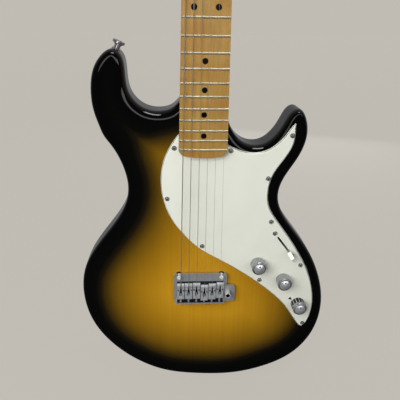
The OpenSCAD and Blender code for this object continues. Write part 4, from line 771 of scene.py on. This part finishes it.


# Rows of radius and height from the bore over the foot, the side, the rim and the crown, with each row's
# share of the flutes and its shade: 0 in the groove, painted dark as shade, a half on the side and 1 on the
# crown
def knobProfile(s, stepped):
    r, gap, crown, skirt = s["radius"], s["gap"], s["crownRadius"], s["skirt"]
    ring, inside = s["height"] - s["crownRise"], gap + s["hollow"]
    shoulder = ring - s["slope"]
    foot = [[s["bore"], inside], [skirt, inside], [skirt, gap + 0.3], [skirt + 0.2, gap]]
    if stepped:
        base, top = r - s["dialStep"], gap + s["dialHeight"]
        foot += [[base - 0.1, gap], [base, gap + 0.1], [base, top], [r - 0.25, top], [r, top + 0.25]]
    else:
        foot += [[r - 0.3, gap], [r, gap + 0.3]]
    side = np.stack([np.full(6, r), np.linspace(foot[-1][1] + 0.2, shoulder - 0.45, 6)], 1)
    rim = [[r - 0.05, shoulder - 0.15], [r - 0.2, shoulder + 0.1], [crown + 1.05, ring - 0.25],
           [crown + 0.9, ring - 0.2], [crown + 0.75, ring - 0.9], [crown + 0.1, ring - 0.95],
           [crown - 0.02, ring - 0.1]]
    t = np.linspace(0.985, 0, 16)
    dome = np.stack([crown * t, crownHeight(t, s)], 1)
    profile = np.concatenate([foot, side, rim, dome])
    fluted = np.zeros(len(profile))
    fluted[len(foot) + 1:len(foot) + 5] = 1
    dull, bright = np.full(len(foot) + len(side), 0.5), np.ones(len(dome))
    return profile, fluted, np.concatenate([dull, [0.5, 0.5, 1, 1, 0, 0, 1], bright])


# A profile of radius and height turned about an axis that stands out of the face at (x, z)
def turned(at, front, profile, columns, dips=0.0):
    a = anglesOf(columns)
    radius = profile[:, :1] - dips * np.ones(columns)
    return atDepth(np.stack([radius * np.sin(a), radius * np.cos(a)], 2) + at, front - profile[:, 1:])


def makeKnob(control, s):
    at = guardShape[control + "At"]
    profile, fluted, shade = knobProfile(s, control == "selector")
    rows, columns = len(profile), s["columns"]
    wave = 0.5 - 0.5 * np.cos(s["flutes"] * anglesOf(columns))
    grid = turned(at, guardTop, profile, columns, fluted[:, None] * s["depth"] * wave)
    bore = np.array([[s["bore"], s["boreTop"]], [s["bore"], s["gap"] + s["hollow"]]])
    points = np.concatenate([grid.reshape(-1, 3), turned(at, guardTop, bore, columns).reshape(-1, 3)])
    faces = [*gridFaces(rows, columns), *gridFaces(2, columns, rows * columns),
             np.arange(columns) + rows * columns]
    piece = addPiece(control + "Knob", points, faces, knobMetal, np.repeat([*shade, 0.5, 0.5], columns))
    settle(piece, control + "_control", control + "_knob", 35)


# Index spot: a small disc that lies on the crown above its middle, with its rim sunk into the metal
def makeSpot(control, s):
    at = guardShape[control + "At"]
    share, n = np.array([1.0, 0.92, 0.5, 0.0]), s["spotSides"]
    r, a = np.meshgrid(s["spotRadius"] * share, anglesOf(n), indexing="ij")
    x, z = r * np.sin(a), s["spotAt"] + r * np.cos(a)
    crown = crownHeight(np.hypot(x, z) / s["crownRadius"], s)
    lift = np.where(share == 1, -s["spotSink"], s["spotLift"])[:, None]
    points = np.stack([at[0] + x, guardTop - crown - lift, at[1] + z], 2)
    faces = [*gridFaces(len(share), n), np.arange(n)[::-1]]
    settle(addPiece(control + "KnobSpot", points, faces, blackInlay), control + "_control")


# Knob metal: dark in the groove and duller on the fluted side, both painted shade, the side partly from its
# fluting too; bright on the turned crown
def makeKnobFinish(s):
    finish = newFinish("knobMetal", s["crownTone"], Metallic=0.72)
    base = rampOf(layerOf(finish, "shade"),
                  [(0.0, s["grooveShadeTone"]), (0.5, s["sideFlutedShadeTone"]), (1.0, s["crownTone"])])
    grain = noiseOn(finish, 3000)
    paint(worn(base, grain, 0.95))
    roughFrom(grain, 0.2, 0.26)
    return finish


knobMetal = makeKnobFinish(knobShape)
for control in ("volume", "tone", "selector"):
    makeKnob(control, knobShape)
    makeSpot(control, knobShape)
print("knobs made")


# Screws: a profile turned about its own axis, from the point up the shank, under the head and over its crown.
# The cross is a dip in the crown where the smaller of the two sideways distances is small
screwSet = dict(
    front=[[-34, 182], [-43, 117.5], [1.5, 51], [33, 179], [105, 197.5], [80.5, 144], [89, 85.3],
           [134, 20.5], [80, -1.8], [147, -75]],
    back=[[-38.4, -35.4], [-38.4, 31.5], [-38.4, 98.4], [38.4, -35.4], [38.4, 31.5], [38.4, 98.4],
          [-115, -94.4], [-115, 14.4], [-65, -94.4], [-65, 14.4]],
    lever=[[120.63, 35.86], [95.37, 68.54]], jackReach=17, jackDepth=-1.6, backTop=45.6,
    coverSize=(2.9, 12), leverSize=(3.0, 8), rimHeight=0.55, height=1.6, crossDepth=0.8,
    shank=1.2, columns=48, firstTurn=0.7, nextTurn=1.9,
    tones=[(0.0, (56, 56, 54)), (0.35, (104, 104, 100)), (1.0, (196, 196, 190))],
)


def screwGrid(base, out, radius, length, turn, s):
    t = np.linspace(0.97, 0, 15)
    shank, low = s["shank"], s["rimHeight"]
    stem = [[0, -length], [0.4, 1 - length], [shank, 2.6 - length], [shank, -0.05], [shank, 0],
            [radius - 0.1, 0], [radius, 0.1], [radius, 0.42]]
    crown = np.stack([radius * t, low + (s["height"] - low) * (1 - t**2.4)], 1)
    profile = np.concatenate([stem, crown])
    a = anglesOf(s["columns"])
    u, v = profile[:, :1] * np.cos(a), profile[:, :1] * np.sin(a)
    near = np.minimum(np.abs(u), np.abs(v))
    away = np.hypot(u, v) / radius
    onCrown = (np.arange(len(profile)) >= len(stem))[:, None]
    cross = onCrown * (1 - step(0.24, 0.5, near)) * (1 - step(0.5, 0.66, away))
    high = profile[:, 1:] - s["crossDepth"] * cross
    # Painted shade: dark in the cross, round the rim of the crown and on the shank
    shade = (1 - step(0.66, 0.92, away)) * (1 - 0.9 * cross) * onCrown
    out = np.array(out, float)
    side = unit(np.cross(out, [0, 0, 1.0]))
    other = np.cross(out, side)
    first, second = side * np.cos(turn) + other * np.sin(turn), other * np.cos(turn) - side * np.sin(turn)
    return np.array(base) + u[..., None] * first + v[..., None] * second + high[..., None] * out, shade


# Steel that is bright on the crown, with painted shade that darkens it in the cross and round the rim
def makeScrewFinish(s):
    finish = newFinish("screwSteel", (150, 150, 147), Metallic=0.7)
    paint(worn(rampOf(layerOf(finish, "shade"), s["tones"]), noiseOn(finish, 700), 0.86))
    roughFrom(noiseOn(finish, 500), 0.3, 0.45)
    return finish


def makeScrews(name, node, places, radius, length, s):
    grids = [screwGrid(base, out, radius, length, s["firstTurn"] + s["nextTurn"] * k, s)
             for k, (base, out) in enumerate(places)]
    rows, columns = grids[0][0].shape[:2]
    points = np.concatenate([g.reshape(-1, 3) for g, _ in grids])
    faces = np.concatenate([gridFaces(rows, columns, k * rows * columns) for k in range(len(grids))])
    piece = addPiece(name, points, faces, screwSteel, np.concatenate([shade.ravel() for _, shade in grids]))
    settle(piece, "guitar", node, 50)


# Foot and outward direction of the screws in the face, the back and the jack plate
def coverPlaces(s):
    at, out, along = rimAt(bodyShape["jackAt"])
    places = [((x, guardTop, z), (0, -1, 0)) for x, z in s["front"]]
    places += [((x, s["backTop"], z), (0, 1, 0)) for x, z in s["back"]]
    for side in (-1, 1):
        x, z = at + s["jackDepth"] * out + side * s["jackReach"] * along
        places.append(((x, bodyShape["thick"] / 2, z), (out[0], 0, out[1])))
    return places


screwSteel = makeScrewFinish(screwSet)
leverPlaces = [((x, guardTop, z), (0, -1, 0)) for x, z in screwSet["lever"]]
makeScrews("coverScrews", "cover_screws", coverPlaces(screwSet), *screwSet["coverSize"], screwSet)
makeScrews("leverScrews", "switch_screws", leverPlaces, *screwSet["leverSize"], screwSet)
print("screws made")


# Saddles: a block section with rounded shoulders carried from the nose back through the stations.
# The top is a wide barrel at the front, then a step down to the rear; the nose overhangs the plate as a lip.
# The string's slot is a teardrop cut right through
saddleShape = dict(
    half=4.86, shoulder=0.7, under=-7.2, barrel=6.0, peak=-1.5, drop=1.0,
    dropAt=(-3.2, -4.8), lip=1.3, lipEnd=-3.1, rearEdge=(0.4, -22.0, -22.5),
    noseEdge=(0.25, 1.85, 2.0),
    stations=[2.0, 1.9, 1.5, 1.0, 0.5, 0, -0.8, -1.5, -2.2, -3.0, -3.2, -3.6, -4.0, -4.4, -4.8, -6, -9,
              -13, -17, -21, -22.1, -22.4, -22.5],
    slot=[[0.75, -1.6], [0.85, -5], [1.2, -9], [1.85, -13], [2.2, -16], [2.0, -17.6], [1.2, -18.6]],
    slotEnd=-19, screwX=3.34, screwBack=8, screwRadius=1.24, cutFront=-30,
)


# Crest of a saddle: the underside of its string
def saddleTop(i):
    s = stringSet
    x = s["saddleSpread"] * (i / 5 - 0.5)
    return x, boardDrop(x) - s["saddleRise"] + s["diameters"][i] / 2 + s["gap"]


def saddleGrid(i, s):
    x, top = saddleTop(i)
    z = np.array(s["stations"])
    ahead = np.clip(z - s["peak"], 0, None)
    line = top + s["barrel"] - np.sqrt(s["barrel"] ** 2 - ahead**2) + s["drop"] * step(*s["dropAt"], z)
    for fall, begin, end in (s["rearEdge"], s["noseEdge"]):
        line += fall * step(begin, end, z)
    foot = np.where(z > s["lipEnd"], line + s["lip"], s["under"])[:, None]
    a = np.linspace(0, np.pi / 2, 6)
    bend = s["shoulder"] * (1 - np.stack([np.cos(a), np.sin(a)], 1))
    left = bend - [s["half"], 0]
    arch = np.concatenate([left, left[::-1] * [-1, 1]])
    y = np.concatenate([foot, line[:, None] + arch[None, :, 1], foot], 1)
    across = np.concatenate([[-s["half"]], arch[:, 0], [s["half"]]])
    flat = np.broadcast_to(x + across, y.shape)
    back = np.broadcast_to((z + stringSet["compensation"][i])[:, None], y.shape)
    return np.stack([flat, y, back], 2)


def makeSaddles(s):
    blocks = tubesPiece("saddleBlocks", [saddleGrid(i, s) for i in range(6)])
    half = np.array(s["slot"])
    outline = np.concatenate([half, [[0, s["slotEnd"]]], half[::-1] * [-1, 1]])
    loops = []
    for i in range(6):
        x, back = saddleTop(i)[0], stringSet["compensation"][i]
        loops.append(outline + [x, back])
        for side in (-1, 1):
            loops.append(disc((x + side * s["screwX"], back - s["screwBack"]), s["screwRadius"], 20))
    cutAway(blocks, [prism("cutSaddle", loop, s["cutFront"], 0) for loop in loops])
    refinish(blocks, satinMetal)
    settle(blocks, "tremolo_bridge", "saddles", 35)


makeSaddles(saddleShape)
print("saddles made")


# Bridge posts: thread, foot, groove and a domed head with a round socket, turned about the post
postShape = dict(x=28.2, z=6.6, columns=48,
                 profile=[[2.3, -19], [2.3, 0.7], [3.05, 0.7], [3.1, 0.8], [3.1, 2.0], [3.0, 2.1], [2.2, 2.1],
                          [2.2, 7.3], [3.0, 7.3], [3.1, 7.4], [3.1, 7.95], [3.0, 8.25], [2.7, 8.6],
                          [2.2, 8.87], [1.6, 9.05], [1.1, 9.1], [0.95, 9.0], [0.9, 8.2]])


def makePosts(s):
    grids = [turned((side * s["x"], s["z"]), 0, np.array(s["profile"]), s["columns"]) for side in (-1, 1)]
    posts = tubesPiece("postStuds", grids, postMetal)
    settle(posts, "guitar", "bridge_posts", 35)


makePosts(postShape)
print("posts made")


# Plate: satin metal, dull and dark where the saddles keep it covered; that dark is painted shade
trayShape = dict(half=31.2, front=-0.3, rear=-31.05, edge=0.2, wallTop=-11.1,
                 plateTone=(196, 200, 204), trayShadeTone=(62, 62, 66))


def makePlateFinish(s):
    finish = newFinish("plateMetal", s["plateTone"], Metallic=0.65)
    streak = noiseOn(finish, (900, 120, 120))
    parts = partsOf(objectPoint(finish))
    edge, front, rear = s["edge"], s["front"] + saddleLine, s["rear"] + saddleLine
    sides = [spreadOf(source, start / 1000, end / 1000) for source, start, end in (
        (mathOf("ABSOLUTE", parts["X"]), s["half"], s["half"] - edge),
        (parts["Z"], front, front - edge), (parts["Z"], rear, rear + edge),
        (parts["Y"], s["wallTop"], s["wallTop"] + edge))]
    share = sides[0]
    for side in sides[1:]:
        share = mathOf("MULTIPLY", share, side)
    # Painted shade: the tray under and behind the saddles takes the dark tray tone
    tray = rampOf(share, [(0.0, s["plateTone"]), (1.0, s["trayShadeTone"])])
    paint(worn(tray, streak, 0.82))
    roughFrom(streak, 0.34, 0.46)
    bumpOf(streak, 0.05)
    return finish


# The shift that brings a place on the face to the middle of a finish's own space
def middleOf(at):
    return (-at[0] / 1000, 0, -(at[1] + saddleLine) / 1000)


# Arm socket: bright metal, with painted shade that darkens it inside its bore
socketShape = dict(at=(36.6, -17.5), bore=2.6, edge=0.15, metalTone=(236, 237, 238),
                   boreShadeTone=(8, 8, 9))


def makeSocketFinish(s):
    finish = newFinish("socketMetal", s["metalTone"], Metallic=0.5)
    away = objectPoint(finish, (1, 0, 1), middleOf(s["at"]))
    radius = addNode(finish.node_tree, "VectorMath", [(0, away)], operation="LENGTH").outputs["Value"]
    outside = spreadOf(radius, s["bore"] / 1000, (s["bore"] + s["edge"]) / 1000)
    streak = noiseOn(finish, 300)
    base = rampOf(outside, [(0.0, s["boreShadeTone"]), (1.0, s["metalTone"])])
    paint(worn(base, streak, 0.9))
    roughFrom(streak, 0.1, 0.18)
    return finish


# Index mark: a small dark wedge printed on the guard beside the selector
markShape = dict(at=(125.9, -33.4), length=5.0, width=4.8, lift=0.06, sink=0.1)


def makeMark(s):
    at = np.array(s["at"])
    ahead = unit(np.array(guardShape["selectorAt"]) - at)
    across = np.array([-ahead[1], ahead[0]]) * s["width"] / 2
    tip, base = at + ahead * s["length"] / 2, at - ahead * s["length"] / 2
    piece = prism("dialMark", [base - across, base + across, tip], guardTop - s["lift"], guardTop + s["sink"])
    piece.data.materials.append(blackInlay)
    settle(piece, "guitar")


makeMark(markShape)
print("index mark made")


# Dial band: black with pale ticks at even turns about the selector's shaft
dialShape = dict(ticks=14, tickEdge=(0.045, 0.07), bandTone=(6, 6, 7), tickTone=(236, 236, 232))


def makeDialFinish(at, s):
    finish = newFinish("dialBand", s["bandTone"], Roughness=0.4, Specular_IOR_Level=0.2)
    parts = partsOf(objectPoint(finish, shift=middleOf(at)))
    angle = mathOf("ARCTAN2", parts["X"], parts["Z"])
    wave = mathOf("PINGPONG", mathOf("MULTIPLY", angle, s["ticks"] / (2 * np.pi)), 0.5)
    inner, outer = s["tickEdge"]
    tick, band = s["tickTone"], s["bandTone"]
    paint(rampOf(wave, [(0.0, tick), (inner, tick), (outer, band), (1.0, band)]))
    return finish


plateMetal = makePlateFinish(trayShape)
socketMetal = makeSocketFinish(socketShape)
dialBand = makeDialFinish(guardShape["selectorAt"], dialShape)
screwThread = makeWrapFinish("screwThread", (196, 196, 194), 700)

# Finish, angle in degrees of an edge that stays sharp, rounding of the edges in metres, and the nodes
finishes = [
    (maple, 30, 0, ["neck"]), (boardMaple, 30, 0.0002, ["fretboard"]), (fretMetal, 40, 0, ["frets"]),
    (blackInlay, 40, 0, ["inlay_dots"]), (bone, 30, 0.0001, ["nut"]),
    (nickel, 30, 0, ["headstock_screws", "tuner_bushings", "long_screws", "strap_buttons",
                     "strap_button_screws", "output_jack"]),
    (nickel, 30, 0.0002, ["string_tree"]), (nickel, 30, 0.0003, ["neck_plate", "jack_plate"]),
    (nickel, 30, 0.0004, ["tuner_housings"]), (nickel, 32, 0, [f"tuner_post_{i}" for i in range(1, 7)]),
    (nickel, 40, 0.0006, [f"tuner_button_{i}" for i in range(1, 7)]),
    (steel, 30, 0, ["truss_rod", "control_pots", "selector_switch", "blade_switch", "saddle_screws"]),
    (steel, 30, 0.0002, ["switch_lever"]), (steel, 30, 0.0003, ["spring_claw", "tremolo_block"]),
    # The post anchors' near-black stands partly for painted shadow in the notches round the posts
    (darkSteelAndShadow, 30, 0, ["post_anchors"]), (brass, 30, 0, ["volume_shaft", "tone_shaft", "selector_shaft"]),
    (plateMetal, 30, 0.0003, ["bridge_plate"]), (socketMetal, 30, 0.0003, ["arm_socket"]),
    (screwThread, 30, 0, ["intonation_screws"]), (dialBand, 30, 0, ["selector_dial"]),
    (whitePlastic, 30, 0.0001, ["switch_tip"]), (whitePlastic, 30, 0.0003, ["tremolo_cover"]),
    (blackPlastic, 30, 0.0003, ["battery_cover"]), (cellCan, 30, 0, ["batteries"]),
    (boardGreen, 30, 0, ["circuit_board"]), (wireSleeve, 30, 0, ["wiring"]),
]
for finish, angle, bevel, nodes in finishes:
    for node in nodes:
        dress(node, finish, angle, bevel)
print("solids dressed")


# Stage: a pale floor and an even room that is paler behind the object. Of the lamps, the soft one from the
# upper left and the one behind give no mirror image, the long strip in front shines in gloss, and the one
# above shows in gloss only
stageLight = dict(
    floorZ=-0.8475, floorReach=(-9, 9, -9, 14), floorTone=(50, 49, 46), floorGlow=(186, 182, 174),
    backTone=(192, 188, 180), ambient=0.385, roomDark=0.03, roomPale=0.34, roomFrom=-0.1,
    roomAim=(0.15, 0.9, 0.42),
    lamps=[("softLight", 13.1, (0.9, 0.7), (-0.6, -0.8, -0.05), -0.6, False, True),
           ("shineLight", 9.5, (3.4, 0.5), (0.3, -1.86, -0.16), -0.6, True, True),
           ("topLight", 9.0, (0.9, 0.4), (0.2, -0.55, 1.2), -0.5, True, False),
           ("backLight", 12.0, (1.0, 0.8), (0.5, 1.5, -0.35), -0.5, False, True)],
)


# A lamp's power, its width and height, its place, the height it aims at, and whether it shows in gloss
# and lights dull surfaces
def addLamp(name, power, size, at, aimZ, gloss, wash):
    data = bpy.data.lights.new(name, "AREA")
    data.shape, data.energy, data.size, data.size_y = "RECTANGLE", power, *size
    lamp = bpy.data.objects.new(name, data)
    lamp.location = at
    lamp.rotation_euler = (Vector((0, 0, aimZ)) - Vector(at)).to_track_quat("-Z", "Y").to_euler()
    lamp.visible_camera, lamp.visible_glossy, lamp.visible_diffuse = False, gloss, wash
    scene.collection.objects.link(lamp)


def makeFloor(s):
    mesh = bpy.data.meshes.new("floor")
    corners = rectangle(*s["floorReach"])
    mesh.from_pydata([(x, y, s["floorZ"]) for x, y in corners], [], [(0, 1, 2, 3)])
    finish = newFinish("floorPaper", s["floorTone"], Roughness=0.8, Emission_Color=tone(*s["floorGlow"]))
    mottle(noiseOn(finish, 3), s["floorTone"], 0.985)
    paint(addNode(finish.node_tree, "LightPath").outputs["Is Camera Ray"], "Emission Strength")
    mesh.materials.append(finish)
    floor = bpy.data.objects.new("floor", mesh)
    floor.visible_glossy = False
    scene.collection.objects.link(floor)


# World: the camera sees the floor's tone, gloss sees a room that is pale behind the object and dark in front
def makeWorld(s):
    world = bpy.data.worlds.new("room")
    scene.world = world
    world.use_nodes = True
    tree = world.node_tree
    rays = addNode(tree, "LightPath").outputs
    inputs = [(0, addNode(tree, "TexCoord").outputs["Generated"]), (1, s["roomAim"])]
    toward = addNode(tree, "VectorMath", inputs, operation="DOT_PRODUCT").outputs["Value"]
    room = spreadOf(toward, s["roomFrom"], 1, s["roomDark"], s["roomPale"], interpolation_type="SMOOTHSTEP")
    glossy = mathOf("MAXIMUM", rays["Is Glossy Ray"], rays["Is Transmission Ray"])
    even, back = (*[s["ambient"]] * 3, 1), tone(*s["backTone"])
    shine = addNode(tree, "Mix", [(0, glossy), (6, even), (7, room)], data_type="RGBA").outputs[2]
    inputs = [(0, rays["Is Camera Ray"]), (6, shine), (7, back)]
    seen = addNode(tree, "Mix", inputs, data_type="RGBA").outputs[2]
    tree.links.new(seen, tree.nodes["Background"].inputs["Color"])


makeFloor(stageLight)
makeWorld(stageLight)
for lamp in stageLight["lamps"]:
    addLamp(*lamp)
print("stage set")
